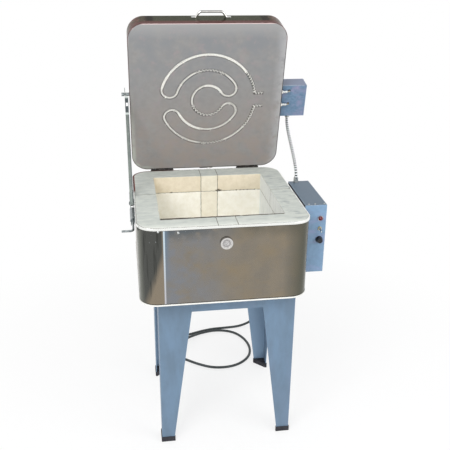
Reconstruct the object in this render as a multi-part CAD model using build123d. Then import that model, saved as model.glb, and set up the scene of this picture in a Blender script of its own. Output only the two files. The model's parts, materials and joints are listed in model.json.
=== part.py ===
from build123d import *
import math
import os

# An electric kiln on a four-legged stand, with its lid propped open.
# Millimetres and degrees. +Z is up, the front faces -Y and the floor is z = 0.
# The solids are laid out about the middle of the kiln body, and moved at the end
# so that the origin is the bottom centre of the whole object without its free cord.

# Kiln body
body_width = 560.0
body_depth = 563.0
corner_radius = 60.0
jacket_sheet = 0.9
hem_height = 8.5
hem_proud = 3.0
hem_round = 1.4
hem_at_hinge = 1.2
seat_gap = 0.3
chamber_width = 410.0
chamber_depth = 408.0
upper_row = 63.5
lower_row = 114.3
floor_brick = 63.5
board_thickness = 33.2
key_width = 63.5
key_shift = 6.0
side_joint_shift = 24.0
floor_strip_count = 4
pan_sheet = 1.5
pan_rim = 3.5
pan_clearance = 0.2

# Stand
stand_height = 600.0
stand_side_inset = 44.0
stand_end_inset = 55.5
stand_shift = 15.5
stand_sheet = 2.5
leaf_top = 113.0
leaf_foot = 44.5
rail_height = 61.0
rail_flange = 30.0
boot_height = 20.0
boot_wall = 2.5
boot_slack = 1.0
boot_floor = 6.0
hole_clearance = 0.2

# Peephole and its plug
peep_drop = 61.0
peep_hole = 28.0
plug_taper = 2.0
plug_fit = 0.4
plug_reach = 66.0
plug_cap = 41.0
plug_cap_height = 7.0
plug_rim = 3.0
plug_dish = 2.5

# Lid, laid out shut and then swung open
lid_overhang = 7.0
lid_thickness = 77.0
lid_gap = 0.5
lid_open = 77.5
hinge_setback = 6.4
hinge_reveal = 5.0
band_lap = 8.0

# Lid hinges
hinge_leaf = 86.0
hinge_spacing = 334.0
leaf_height = 52.0
leaf_sheet = 2.0
knuckle_radius = 4.5
knuckle_count = 5
knuckle_gap = 0.5
pin_radius = 2.2
pin_clearance = 0.05
leaf_start = 5.4

# Eye on a small tab at the middle of the lid's rear edge
eye_tab_left = -21.0
eye_tab_right = 29.0
eye_tab_low = 1.5
eye_tab_high = 12.0
eye_tab_sheet = 3.0
eye_x = 14.0
eye_rise = 3.5
eye_radius = 5.5
eye_wire = 1.3

# Heating element in its groove under the lid
ring_inner = 58.0
ring_middle = 117.0
ring_outer = 175.0
ring_centre_x = 3.0
ring_centre_back = 287.0
turn_left_upper = 163.0
turn_left_lower = -154.0
turn_right_upper = 31.0
turn_right_lower = -29.0
tail_offset = 25.5
tail_end = 209.0
coil_radius = 4.7
groove_width = 11.4
groove_depth = 9.8
tail_radius = 2.5
tail_rise = 8.0
tail_bend_near = 222.0
tail_bend_far = 262.0
tail_bend_radius = 30.0
staple_count = 26
staple_wire = 1.2
staple_depth = 12.0

# Terminals and wiring box on the lid's right side
bushing_radius = 6.2
bushing_flange = 7.5
bushing_flange_height = 3.0
bushing_inside = 5.0
terminal_radius = 5.0
terminal_length = 18.0
lead_radius = 1.5
lead_reach = 9.0
lead_hole = 5.0
lid_box_near = 210.0
lid_box_far = 333.0
lid_box_width = 96.0
lid_box_low = 16.0
lid_box_high = 78.0
box_sheet = 1.2
box_fit = 0.2

# Lid handle
handle_shift = 14.0
handle_rise = 59.0
handle_rod = 4.0
handle_reach = 20.0
handle_bar = 80.0
handle_corner = 14.0
handle_feet = 122.0
handle_lean = 7.0
handle_flange = 18.0
handle_flange_width = 13.0
handle_flange_sheet = 2.0

# Prop arm and the sliding bolt that locks it
pivot_back = 312.0
pivot_rise = 16.0
pivot_spacer_radius = 6.0
pivot_radius = 3.0
pivot_clearance = 0.1
arm_offset = 15.0
arm_sheet = 2.0
arm_web = 16.0
arm_flange = 12.0
arm_tip = 22.0
arm_flange_start = 12.0
arm_length = 486.0
arm_slot_width = 8.0
arm_slot_length = 14.0
arm_hole_length = 18.0
wing_span = 26.0
wing_nut_radius = 5.5
wing_nut_height = 6.0
bolt_drop = 26.0
bolt_radius = 3.5
bolt_clearance = 0.08
bolt_tip_set_back = 2.0
barrel_before_pivot = 22.9
barrel_length = 100.0
barrel_radius = 8.5
barrel_plate = 2.0
barrel_plate_width = 33.0
plate_screw_offset = 13.0
plate_screw_inset = 10.0
keeper_behind_pivot = 36.1
keeper_length = 104.0
keeper_radius = 7.5
keeper_flange = 12.0
keeper_flange_sheet = 4.0
keeper_bore_depth = 34.0
bolt_exposed = 84.0
handle_turn = 12.0
bolt_handle = 37.0

# Control box on the body's right side
control_gap = 9.0
control_width = 76.0
control_setback = 133.5
control_depth = 249.0
control_height = 252.0
control_sheet = 1.5
standoff_width = 12.0
standoff_height = 14.0
standoff_pitch = 84.0
standoff_first = -99.0
standoff_inset = 10.0
fitting_inset = 55.0
lamp_drop = 48.0
lamp_hole = 6.5
lamp_lens_radius = 7.6
lamp_bezel_radius = 9.4
lamp_bezel_height = 3.0
lamp_body = 28.0
toggle_drop = 86.0
toggle_bush = 5.0
toggle_bush_length = 9.0
toggle_nut_radius = 7.4
toggle_nut_height = 2.4
toggle_case = 18.0
toggle_case_height = 28.0
toggle_case_depth = 24.0
lever_radius = 1.7
lever_length = 17.0
lever_knob = 2.6
lever_tilt = 15.0
knob_drop = 127.0
knob_radius = 10.6
knob_height = 15.0
knob_skirt = 12.0
knob_skirt_height = 3.0
knob_gap = 0.5
shaft_radius = 3.0
shaft_length = 12.0
switch_radius = 15.0
switch_depth = 22.0
shaft_clearance = 0.08
block_length = 90.0
block_width = 26.0
block_height = 18.0
wire_radius = 1.6

# Hose between the lid's wiring box and the control box
hose_radius = 6.4
hose_bore = 4.4
hose_rib = 1.0
hose_pitch = 7.6
hose_low_inset = 25.0
hose_top_inset = 40.0
hose_back = 13.0
hose_sweep_low = 60.0
hose_sweep_top = 50.0
hose_straight = 15.0
fitting_socket = 10.0
fitting_radius = 9.8
fitting_length = 18.0
fitting_thread = 7.9
fitting_nut_height = 4.0

# Free mains cord
cord_radius = 5.5
cord_inset = 36.0
cord_rise = 28.0
relief_length = 35.0
relief_root = 10.5
relief_flange = 14.0
relief_flange_height = 4.0
plug_length = 46.0
plug_width = 34.0
plug_height = 25.0
plug_neck = 16.0
blade_length = 18.0
blade_width = 6.4
blade_sheet = 1.6
blade_pitch = 12.7
earth_radius = 2.4
earth_length = 20.0
earth_offset = 8.0

# Small screws
screw_radius = 2.0
screw_head = 3.4
screw_head_height = 2.2

# Places that follow from the sizes above
half_width = body_width / 2
half_depth = body_depth / 2
pan_top = stand_height + pan_sheet
board_top = pan_top + board_thickness
floor_top = board_top + floor_brick
joint_height = floor_top + lower_row
body_top = joint_height + upper_row
hem_top = body_top - seat_gap
hinge_y = half_depth + hinge_setback
hinge_z = body_top + lid_gap
lid_depth = body_depth + lid_overhang
lid_rear = hinge_y - hinge_reveal
lid_front = lid_rear - lid_depth
lid_middle = (lid_rear + lid_front) / 2
lid_base = hinge_z
lid_top = lid_base + lid_thickness
brick_inset = jacket_sheet + seat_gap
key_left = key_shift - key_width / 2
key_right = key_shift + key_width / 2
hinge_axis = Axis((0, hinge_y, hinge_z), (1, 0, 0))
stand_width = body_width - 2 * stand_side_inset
stand_depth = body_depth - 2 * stand_end_inset
pivot_y = hinge_y - pivot_back
pivot_z = lid_base + pivot_rise
barrel_rear = pivot_y - barrel_before_pivot
keeper_front = pivot_y + keeper_behind_pivot
shell_left = half_width + control_gap
shell_right = shell_left + control_width
shell_top = body_top
shell_bottom = body_top - control_height
control_front = -half_depth + control_setback
control_back = control_front + control_depth
fitting_x = shell_left + fitting_inset
hose_low_x = shell_left + hose_low_inset
hose_top_x = half_width + hose_top_inset
cord_x = shell_left + cord_inset
cord_height = shell_bottom + cord_rise


def swing(shape, angle=-lid_open):
    # turns a shape laid out on the shut lid about the hinge line
    return shape.rotate(hinge_axis, angle)


def swung_point(x, y, z, angle=-lid_open):
    turn = math.radians(angle)
    dy = y - hinge_y
    dz = z - hinge_z
    new_y = hinge_y + dy * math.cos(turn) - dz * math.sin(turn)
    new_z = hinge_z + dy * math.sin(turn) + dz * math.cos(turn)
    return (x, new_y, new_z)


def block(x0, x1, y0, y1, z0, z1):
    size = Box(x1 - x0, y1 - y0, z1 - z0)
    return Pos((x0 + x1) / 2, (y0 + y1) / 2, (z0 + z1) / 2) * size


def rounded_block(width, depth, radius, z0, z1, middle_y=0.0):
    outline = RectangleRounded(width, depth, radius)
    return Pos(0, middle_y, z0) * extrude(outline, z1 - z0)


def rod(start, end, radius, end_radius=None):
    # a cylinder, or a cone, from one point to another
    a = Vector(*start)
    b = Vector(*end)
    plane = Plane(origin=a, z_dir=b - a)
    length = (b - a).length
    if end_radius is None:
        body = Cylinder(radius, length, align=(Align.CENTER, Align.CENTER, Align.MIN))
    else:
        body = Cone(radius, end_radius, length, align=(Align.CENTER, Align.CENTER, Align.MIN))
    return plane * body


def hexagon_rod(start, end, radius):
    a = Vector(*start)
    b = Vector(*end)
    plane = Plane(origin=a, z_dir=b - a)
    return plane * extrude(RegularPolygon(radius, 6), (b - a).length)


def screw(point, inward, grip):
    # a domed screw whose head sits at the point and whose shank runs inward
    p = Vector(*point)
    d = Vector(*inward)
    shank = rod(tuple(p), tuple(p + d * grip), screw_radius)
    lower = rod(tuple(p), tuple(p - d * screw_head_height * 0.5), screw_head)
    upper = rod(tuple(p - d * screw_head_height * 0.5), tuple(p - d * screw_head_height), screw_head, screw_head * 0.6)
    return shank + lower + upper


def screw_hole(point, inward, grip):
    p = Vector(*point)
    d = Vector(*inward)
    return rod(tuple(p - d * 0.5), tuple(p + d * (grip + 0.5)), screw_radius + hole_clearance)


def tube_along(path, radius, bore=None):
    start = path @ 0
    plane = Plane(origin=start, z_dir=path % 0)
    section = Circle(radius)
    if bore is not None:
        section = section - Circle(bore)
    return sweep(plane * section, path=path)


def corner_radii(points, share=0.45):
    # the largest round at each corner that both neighbouring runs allow
    radii = []
    for before, here, after in zip(points, points[1:], points[2:]):
        run_in = Vector(*here) - Vector(*before)
        run_out = Vector(*after) - Vector(*here)
        turn = math.radians(run_in.get_angle(run_out))
        radii.append(share * min(run_in.length, run_out.length) / math.tan(turn / 2))
    return radii


nodes = {}

# Stand: four folded legs, four rails and the boots
leg_x = stand_width / 2
leg_y = stand_depth / 2
boot_side = leaf_foot + 2 * boot_wall + boot_slack
boot_tip = stand_sheet + 2 * boot_wall
rail_bottom = stand_height - rail_height


def leaf_outline():
    return Polyline(
        (0, boot_floor),
        (leaf_foot, boot_floor),
        (leaf_top, rail_bottom),
        (leaf_top, stand_height),
        (0, stand_height),
        close=True,
    )


def front_left_leg():
    face = make_face(leaf_outline())
    front_leaf = Pos(-leg_x, -leg_y, 0) * Rot(90, 0, 0) * extrude(face, -stand_sheet)
    side_leaf = Pos(-leg_x, -leg_y, 0) * Rot(0, 0, 90) * Rot(90, 0, 0) * extrude(face, stand_sheet)
    return front_leaf + side_leaf


def front_left_boot():
    left = -leg_x - boot_wall
    front = -leg_y - boot_wall
    outline = Polyline(
        (left, front),
        (left + boot_side, front),
        (left + boot_side, front + boot_tip),
        (left + boot_tip, front + boot_side),
        (left, front + boot_side),
        close=True,
    )
    return extrude(make_face(outline), boot_height)


def mirrored(shape, flip_x, flip_y):
    result = shape
    if flip_x:
        result = mirror(result, about=Plane.YZ)
    if flip_y:
        result = mirror(result, about=Plane.XZ)
    return result


corner_names = {
    "front_left": (False, False),
    "front_right": (True, False),
    "rear_left": (False, True),
    "rear_right": (True, True),
}
plain_leg = front_left_leg()
plain_boot = front_left_boot() - plain_leg
all_boots = []
for corner, flips in corner_names.items():
    nodes["stand_leg_" + corner] = [mirrored(plain_leg, *flips)]
    all_boots.append(mirrored(plain_boot, *flips))

# Each rail is welded flush between the tops of two legs, and its flange carries the pan
rail_end_x = leg_x - leaf_top
rail_end_y = leg_y - leaf_top
flange_low = stand_height - stand_sheet


def front_rail():
    wall = block(-rail_end_x, rail_end_x, -leg_y, -leg_y + stand_sheet, rail_bottom, stand_height)
    shelf = block(-rail_end_x, rail_end_x, -leg_y, -leg_y + rail_flange, flange_low, stand_height)
    return wall + shelf


def left_rail():
    wall = block(-leg_x, -leg_x + stand_sheet, -rail_end_y, rail_end_y, rail_bottom, stand_height)
    shelf = block(-leg_x, -leg_x + rail_flange, -rail_end_y, rail_end_y, flange_low, stand_height)
    return wall + shelf


nodes["stand_rail_front"] = [front_rail()]
nodes["stand_rail_rear"] = [mirror(front_rail(), about=Plane.XZ)]
nodes["stand_rail_left"] = [left_rail()]
nodes["stand_rail_right"] = [mirror(left_rail(), about=Plane.YZ)]
nodes["leg_boots"] = all_boots

for name in list(nodes):
    nodes[name] = [Pos(stand_shift, 0, 0) * solid for solid in nodes[name]]

# Base pan, backing board and floor bricks
brick_width = body_width - 2 * brick_inset
brick_depth = body_depth - 2 * brick_inset
brick_corner = corner_radius - brick_inset
rim_inner = pan_clearance
rim_outer = pan_clearance + pan_sheet
pan_floor = rounded_block(
    body_width + 2 * rim_outer, body_depth + 2 * rim_outer, corner_radius + rim_outer, stand_height, pan_top + pan_rim
)
pan_hollow = rounded_block(
    body_width + 2 * rim_inner, body_depth + 2 * rim_inner, corner_radius + rim_inner, pan_top, pan_top + pan_rim + 1
)
nodes["base_pan"] = [pan_floor - pan_hollow]
nodes["backing_board"] = [rounded_block(brick_width, brick_depth, brick_corner, pan_top, board_top)]

floor_slab = rounded_block(brick_width, brick_depth, brick_corner, board_top, floor_top)
strip = brick_width / floor_strip_count
floor_strips = []
for index in range(floor_strip_count):
    left = -brick_width / 2 + index * strip
    floor_strips.append(floor_slab & block(left, left + strip, -half_depth, half_depth, board_top, floor_top))
nodes["floor_bricks"] = floor_strips

# Wall bricks, cut from one ring so that they meet face to face
peep_height = body_top - peep_drop
peep_front = -half_depth
wall_ring = rounded_block(brick_width, brick_depth, brick_corner, floor_top, body_top)
wall_ring -= block(-chamber_width / 2, chamber_width / 2, -chamber_depth / 2, chamber_depth / 2, floor_top, body_top)
peep_bore = rod(
    (0, peep_front - 1, peep_height), (0, 1 - chamber_depth / 2, peep_height), peep_hole / 2, peep_hole / 2 - plug_taper
)


def bricks(z0, z1, joint_y):
    front = (-half_depth, -chamber_depth / 2)
    rear = (chamber_depth / 2, half_depth)
    cells = []
    for y0, y1 in (front, rear):
        cells.append((-half_width, key_left, y0, y1))
        cells.append((key_right, half_width, y0, y1))
    for x0, x1 in ((-half_width, -chamber_width / 2), (chamber_width / 2, half_width)):
        cells.append((x0, x1, -chamber_depth / 2, joint_y))
        cells.append((x0, x1, joint_y, chamber_depth / 2))
    return [wall_ring & block(x0, x1, y0, y1, z0, z1) for x0, x1, y0, y1 in cells]


nodes["wall_bricks_upper"] = bricks(joint_height, body_top, side_joint_shift)
nodes["wall_bricks_lower"] = bricks(floor_top, joint_height, -side_joint_shift)
front_key = wall_ring & block(key_left, key_right, -half_depth, -chamber_depth / 2, floor_top, body_top)
rear_key = wall_ring & block(key_left, key_right, chamber_depth / 2, half_depth, floor_top, body_top)
nodes["key_bricks"] = [front_key - peep_bore, rear_key]

# Jacket: one wrapped sheet with a rolled hem at its top
jacket = rounded_block(body_width, body_depth, corner_radius, pan_top, hem_top)
hem = rounded_block(
    body_width + 2 * hem_proud, body_depth + 2 * hem_proud, corner_radius + hem_proud, hem_top - hem_height, hem_top
)
hem = fillet(hem.faces().sort_by(Axis.Z)[0].edges() + hem.faces().sort_by(Axis.Z)[-1].edges(), hem_round)
# The hem is pressed flat where each hinge lies over it
for side in (-1, 1):
    notch_x = side * hinge_spacing / 2
    hem -= block(
        notch_x - hinge_leaf / 2 - 1, notch_x + hinge_leaf / 2 + 1,
        half_depth + hem_at_hinge, half_depth + hem_proud + 1, hem_top - hem_height - 1, hem_top + 1,
    )
jacket += hem
jacket -= rounded_block(
    body_width - 2 * jacket_sheet,
    body_depth - 2 * jacket_sheet,
    corner_radius - jacket_sheet,
    pan_top - 1,
    hem_top + 1,
)
jacket -= rod((0, -half_depth - 5, peep_height), (0, -half_depth + 5, peep_height), peep_hole / 2)

# Peephole plug: a tapered ceramic stem with a dished metal cap
plug_face = -half_depth - seat_gap
stem_root = peep_hole / 2 - plug_fit
stem_tip = stem_root - plug_taper * plug_reach / (half_depth - chamber_depth / 2)
nodes["peephole_plug"] = [rod((0, plug_face, peep_height), (0, plug_face + plug_reach, peep_height), stem_root, stem_tip)]
cap = rod((0, plug_face, peep_height), (0, plug_face - plug_cap_height, peep_height), plug_cap / 2)
cap -= rod(
    (0, plug_face - plug_cap_height - 1, peep_height),
    (0, plug_face - plug_cap_height + plug_dish, peep_height),
    plug_cap / 2 - plug_rim,
)
nodes["peephole_cap"] = [cap]

# Lid slab and band, laid out shut
slab = rounded_block(
    body_width - 2 * brick_inset,
    lid_depth - 2 * brick_inset,
    corner_radius - brick_inset,
    lid_base,
    lid_top,
    lid_middle,
)
band = rounded_block(body_width, lid_depth, corner_radius, lid_base + lid_gap, lid_top + seat_gap + jacket_sheet, lid_middle)
band -= rounded_block(
    body_width - 2 * jacket_sheet,
    lid_depth - 2 * jacket_sheet,
    corner_radius - jacket_sheet,
    lid_base,
    lid_top + seat_gap,
    lid_middle,
)
band -= rounded_block(
    body_width - 2 * band_lap, lid_depth - 2 * band_lap, corner_radius - band_lap, lid_base, lid_top + 5, lid_middle
)

# Groove path under the lid: three rings joined by hairpin turns
ring_x = ring_centre_x
ring_y = hinge_y - ring_centre_back
element_z = lid_base + groove_depth - seat_gap - coil_radius


def on_ring(radius, angle, z):
    # a point of a ring; positive angles lie towards the hinge-far edge of the lid
    turn = math.radians(angle)
    return (ring_x + radius * math.cos(turn), ring_y - radius * math.sin(turn), z)


def ring_arc(radius, start_angle, end_angle, z):
    middle = (start_angle + end_angle) / 2
    return ThreePointArc(
        on_ring(radius, start_angle, z), on_ring(radius, middle, z), on_ring(radius, end_angle, z)
    )


def hairpin(radius_in, radius_out, angle, lean, z):
    # a half circle between two rings at one angle, bulging the way lean points
    middle = (radius_in + radius_out) / 2
    half = abs(radius_out - radius_in) / 2
    turn = math.radians(angle)
    away = math.radians(angle + 90 * lean)
    peak_x = ring_x + middle * math.cos(turn) + half * math.cos(away)
    peak_y = ring_y - middle * math.sin(turn) - half * math.sin(away)
    return ThreePointArc(on_ring(radius_in, angle, z), (peak_x, peak_y, z), on_ring(radius_out, angle, z))


def element_edges(z):
    tail_angle = math.degrees(math.asin(tail_offset / ring_outer))
    start = on_ring(ring_outer, tail_angle, z)
    finish = on_ring(ring_outer, -tail_angle, z)
    return [
        Line((tail_end, start[1], z), start),
        ring_arc(ring_outer, tail_angle, turn_left_upper, z),
        hairpin(ring_outer, ring_middle, turn_left_upper, 1, z),
        ring_arc(ring_middle, turn_left_upper, turn_right_upper, z),
        hairpin(ring_middle, ring_inner, turn_right_upper, -1, z),
        ring_arc(ring_inner, turn_right_upper, 360 + turn_right_lower, z),
        hairpin(ring_inner, ring_middle, turn_right_lower, 1, z),
        ring_arc(ring_middle, turn_right_lower, turn_left_lower, z),
        hairpin(ring_middle, ring_outer, turn_left_lower, -1, z),
        ring_arc(ring_outer, turn_left_lower, -tail_angle, z),
        Line(finish, (tail_end, finish[1], z)),
    ]


def swept_edges(edges, make_section):
    # each stretch is swept by itself and joined, with a knuckle where stretches meet at an angle
    pieces = []
    for edge in edges:
        plane = Plane(origin=edge @ 0, x_dir=(0, 0, 1), z_dir=edge % 0)
        pieces.append(sweep(plane * make_section(), path=edge))
    whole = pieces[0]
    for piece in pieces[1:]:
        whole += piece
    return whole


path_edges = element_edges(element_z)
coil = swept_edges(path_edges, lambda: Circle(coil_radius))
for corner in (path_edges[0] @ 1, path_edges[-1] @ 0):
    coil += Pos(*corner) * Sphere(coil_radius)
tail_z = lid_base + tail_rise
terminal_start = half_width + bushing_flange_height + seat_gap
terminal_end = terminal_start + terminal_length

groove_edges = element_edges(lid_base)
groove = swept_edges(groove_edges, lambda: Rectangle(2 * groove_depth, groove_width))
for corner in (groove_edges[0] @ 1, groove_edges[-1] @ 0):
    groove += Pos(*corner) * Cylinder(groove_width / 2, 2 * groove_depth)
slab -= groove



def tail(y, start_x, end_x, radius):
    # a straight end of the wire that climbs through the slab to the height of the terminals
    route = FilletPolyline(
        (start_x, y, element_z), (tail_bend_near, y, element_z), (tail_bend_far, y, tail_z), (end_x, y, tail_z),
        radius=tail_bend_radius,
    )
    return tube_along(route, radius)


# Bushings and terminals where the element's tails leave the band
bushings = []
terminals = []
tail_lines = [(path_edges[0] @ 0).Y, (path_edges[-1] @ 1).Y]
for tail_y in tail_lines:
    coil += tail(tail_y, tail_end - 2, terminal_end - 2, tail_radius)
    tunnel = tail(tail_y, tail_end - 3, terminal_end, tail_radius + hole_clearance)
    inner_end = half_width - bushing_inside
    bushing = rod((inner_end, tail_y, tail_z), (half_width + seat_gap, tail_y, tail_z), bushing_radius)
    bushing += rod((half_width, tail_y, tail_z), (half_width + bushing_flange_height, tail_y, tail_z), bushing_flange)
    bushings.append(bushing - tunnel)
    seat = rod(
        (inner_end - seat_gap, tail_y, tail_z), (half_width + 5, tail_y, tail_z), bushing_radius + hole_clearance
    )
    slab -= tunnel
    slab -= seat
    band -= seat
    clamp = hexagon_rod((terminal_start, tail_y, tail_z), (terminal_end, tail_y, tail_z), terminal_radius)
    clamp -= tunnel
    screw_x = (terminal_start + terminal_end) / 2
    clamp += rod((screw_x, tail_y, tail_z - terminal_radius + 1.2), (screw_x, tail_y, tail_z - terminal_radius - 2), 2.2)
    terminals.append(clamp)

nodes["lid_slab"] = [swing(slab)]
nodes["lid_element"] = [swing(coil)]
nodes["element_bushings"] = [swing(item) for item in bushings]
nodes["element_terminals"] = [swing(item) for item in terminals]

# Wire staples pushed into the brick across the coil
staples = []
total = sum(edge.length for edge in path_edges)
for index in range(staple_count):
    travel = total * (index + 0.5) / staple_count
    for edge in path_edges:
        if travel <= edge.length:
            break
        travel -= edge.length
    spot = edge @ (travel / edge.length)
    along = edge % (travel / edge.length)
    across = Vector(-along.Y, along.X, 0)
    low = element_z - coil_radius - staple_wire / 2 - 0.15
    reach = coil_radius + staple_wire / 2 + 0.15
    a = spot + across * reach
    b = spot - across * reach
    bridge = rod((a.X, a.Y, low), (b.X, b.Y, low), staple_wire / 2)
    left = rod((a.X, a.Y, low), (a.X, a.Y, low + staple_depth), staple_wire / 2)
    right = rod((b.X, b.Y, low), (b.X, b.Y, low + staple_depth), staple_wire / 2)
    ends = Pos(a.X, a.Y, low) * Sphere(staple_wire / 2) + Pos(b.X, b.Y, low) * Sphere(staple_wire / 2)
    staples.append(swing(bridge + left + right + ends))
nodes["element_staples"] = staples

# Lid wiring box: a folded base against the band and a folded cover over it
box_left = half_width + seat_gap
box_right = half_width + lid_box_width
box_far_y = hinge_y - lid_box_far
box_near_y = hinge_y - lid_box_near
box_low = lid_base + lid_box_low
box_high = lid_base + lid_box_high
in_low = box_low + box_sheet + box_fit
in_high = box_high - box_sheet - box_fit
lid_box_base = block(box_left, box_left + box_sheet, box_far_y, box_near_y, in_low, in_high)
lid_box_base += block(box_left, box_right - box_sheet - box_fit, box_far_y, box_far_y + box_sheet, in_low, in_high)
lid_box_base += block(box_left, box_right - box_sheet - box_fit, box_near_y - box_sheet, box_near_y, in_low, in_high)
lid_box_cover = block(box_right - box_sheet, box_right, box_far_y, box_near_y, box_low, box_high)
lid_box_cover += block(box_left, box_right, box_far_y, box_near_y, box_low, box_low + box_sheet)
lid_box_cover += block(box_left, box_right, box_far_y, box_near_y, box_high - box_sheet, box_high)
lid_fitting_z = (box_low + box_high) / 2
leads = []
for tail_y, step in zip(tail_lines, (-2.2, 2.2)):
    entry_x = terminal_end + lead_reach
    route = [
        (terminal_end - 2, tail_y, tail_z),
        (entry_x, tail_y, tail_z),
        (entry_x, tail_y, lid_fitting_z - 8),
        (hose_top_x + step, tail_y + 12, lid_fitting_z),
        (hose_top_x + step, box_near_y - 4, lid_fitting_z),
    ]
    leads.append(tube_along(FilletPolyline(*route, radius=corner_radii(route, 0.4)), lead_radius))
    lid_box_cover -= rod((entry_x, tail_y, box_low - 1), (entry_x, tail_y, box_low + box_sheet + 1), lead_hole)
nodes["lid_box_leads"] = [swing(lead) for lead in leads]

# Lid handle: a bent rod with a flat foot at each end
handle_y = lid_front
handle_z = lid_base + handle_rise
foot_in = handle_feet / 2 - handle_lean
handle_points = [
    (handle_shift - foot_in, handle_y - handle_flange_sheet / 2, handle_z),
    (handle_shift - handle_bar / 2, handle_y - handle_reach, handle_z),
    (handle_shift + handle_bar / 2, handle_y - handle_reach, handle_z),
    (handle_shift + foot_in, handle_y - handle_flange_sheet / 2, handle_z),
]
handle_path = FilletPolyline(*handle_points, radius=handle_corner)
handle = tube_along(handle_path, handle_rod)
handle &= block(
    handle_shift - handle_feet, handle_shift + handle_feet, handle_y - 3 * handle_reach, handle_y,
    handle_z - handle_flange_width, handle_z + handle_flange_width,
)
lid_screw_spots = []
for side in (-1, 1):
    middle = handle_shift + side * (handle_feet / 2)
    foot = block(
        middle - handle_flange / 2,
        middle + handle_flange / 2,
        handle_y - handle_flange_sheet,
        handle_y,
        handle_z - handle_flange_width / 2,
        handle_z + handle_flange_width / 2,
    )
    handle += foot
    spot = handle_shift + side * (handle_feet / 2 + 5)
    lid_screw_spots.append(((spot, handle_y - handle_flange_sheet, handle_z), (0, 1, 0), handle_flange_sheet + jacket_sheet))

# Hinges: two butt hinges with five knuckles each
pitch = hinge_leaf / knuckle_count
body_leaf_y = half_depth + hem_at_hinge
body_leaves = []
lid_leaves = []
hinge_pins = []
body_screw_spots = []


def knuckles(middle_x, which):
    group = None
    for index in which:
        left = middle_x - hinge_leaf / 2 + index * pitch + knuckle_gap / 2
        right = left + pitch - knuckle_gap
        barrel = rod((left, hinge_y, hinge_z), (right, hinge_y, hinge_z), knuckle_radius)
        group = barrel if group is None else group + barrel
    return group


for side in (-1, 1):
    middle_x = side * hinge_spacing / 2
    left = middle_x - hinge_leaf / 2
    right = middle_x + hinge_leaf / 2
    bore = rod((left - 5, hinge_y, hinge_z), (right + 5, hinge_y, hinge_z), pin_radius + pin_clearance)
    lower = block(left, right, body_leaf_y, body_leaf_y + leaf_sheet, hinge_z - leaf_height, hinge_z - leaf_start)
    for index in (0, 2, 4):
        start = left + index * pitch + knuckle_gap / 2
        lower += block(
            start, start + pitch - knuckle_gap, body_leaf_y, body_leaf_y + leaf_sheet, hinge_z - leaf_start - 1, hinge_z - 1
        )
    lower += knuckles(middle_x, (0, 2, 4))
    lower -= bore
    upper = block(left, right, lid_rear, lid_rear + leaf_sheet, hinge_z + leaf_start, hinge_z + leaf_height)
    for index in (1, 3):
        start = left + index * pitch + knuckle_gap / 2
        upper += block(
            start, start + pitch - knuckle_gap, lid_rear, lid_rear + leaf_sheet, hinge_z + 1, hinge_z + leaf_start + 1
        )
    upper += knuckles(middle_x, (1, 3))
    upper -= bore
    hinge_pins.append(rod((left - 1, hinge_y, hinge_z), (right + 1, hinge_y, hinge_z), pin_radius))
    for step in (-0.34, 0.0, 0.34):
        screw_x = middle_x + step * hinge_leaf
        screw_z = leaf_height * (0.72 if step else 0.5)
        body_spot = ((screw_x, body_leaf_y + leaf_sheet, hinge_z - screw_z), (0, -1, 0), leaf_sheet + hem_at_hinge + jacket_sheet)
        lid_spot = ((screw_x, lid_rear + leaf_sheet, hinge_z + screw_z), (0, -1, 0), leaf_sheet + jacket_sheet)
        body_screw_spots.append(body_spot)
        lid_screw_spots.append(lid_spot)
        lower -= screw_hole(*body_spot)
        upper -= screw_hole(*lid_spot)
    body_leaves.append(lower)
    lid_leaves.append(swing(upper))
nodes["body_hinge_leaves"] = body_leaves
nodes["lid_hinge_leaves"] = lid_leaves
nodes["hinge_pins"] = hinge_pins

# A tab with a round eye hangs from the middle of the lid's rear edge
eye_y = lid_rear + eye_tab_sheet + eye_radius - 0.3
eye = block(
    eye_tab_left, eye_tab_right, lid_rear, lid_rear + eye_tab_sheet, lid_base + eye_tab_low, lid_base + eye_tab_high
)
eye += Pos(eye_x, eye_y, lid_base + eye_rise) * Torus(eye_radius, eye_wire)
for x_spot in (eye_tab_left + 7, eye_tab_right - 4):
    spot = ((x_spot, lid_rear + eye_tab_sheet, lid_base + eye_tab_high - 4), (0, -1, 0), eye_tab_sheet + jacket_sheet)
    lid_screw_spots.append(spot)
    eye -= screw_hole(*spot)
nodes["lid_rear_eye"] = [swing(eye)]

# Prop arm: an angle strip hung on a shoulder bolt at the lid's left side
pivot_open = swung_point(0, pivot_y, pivot_z)
arm_web_out = -half_width - arm_offset - arm_sheet
arm_web_in = -half_width - arm_offset
bolt_z = body_top - bolt_drop
bolt_x = -half_width - barrel_plate - barrel_radius
gap_middle = (barrel_rear + keeper_front) / 2
arm_angle = math.degrees(math.atan2(pivot_open[1] - gap_middle, pivot_open[2] - bolt_z))
flange_middle = arm_web / 2 - arm_sheet / 2
lock_travel = (pivot_open[2] + flange_middle * math.sin(math.radians(arm_angle)) - bolt_z) / math.cos(
    math.radians(arm_angle)
)
shut_travel = pivot_z - bolt_z


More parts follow.
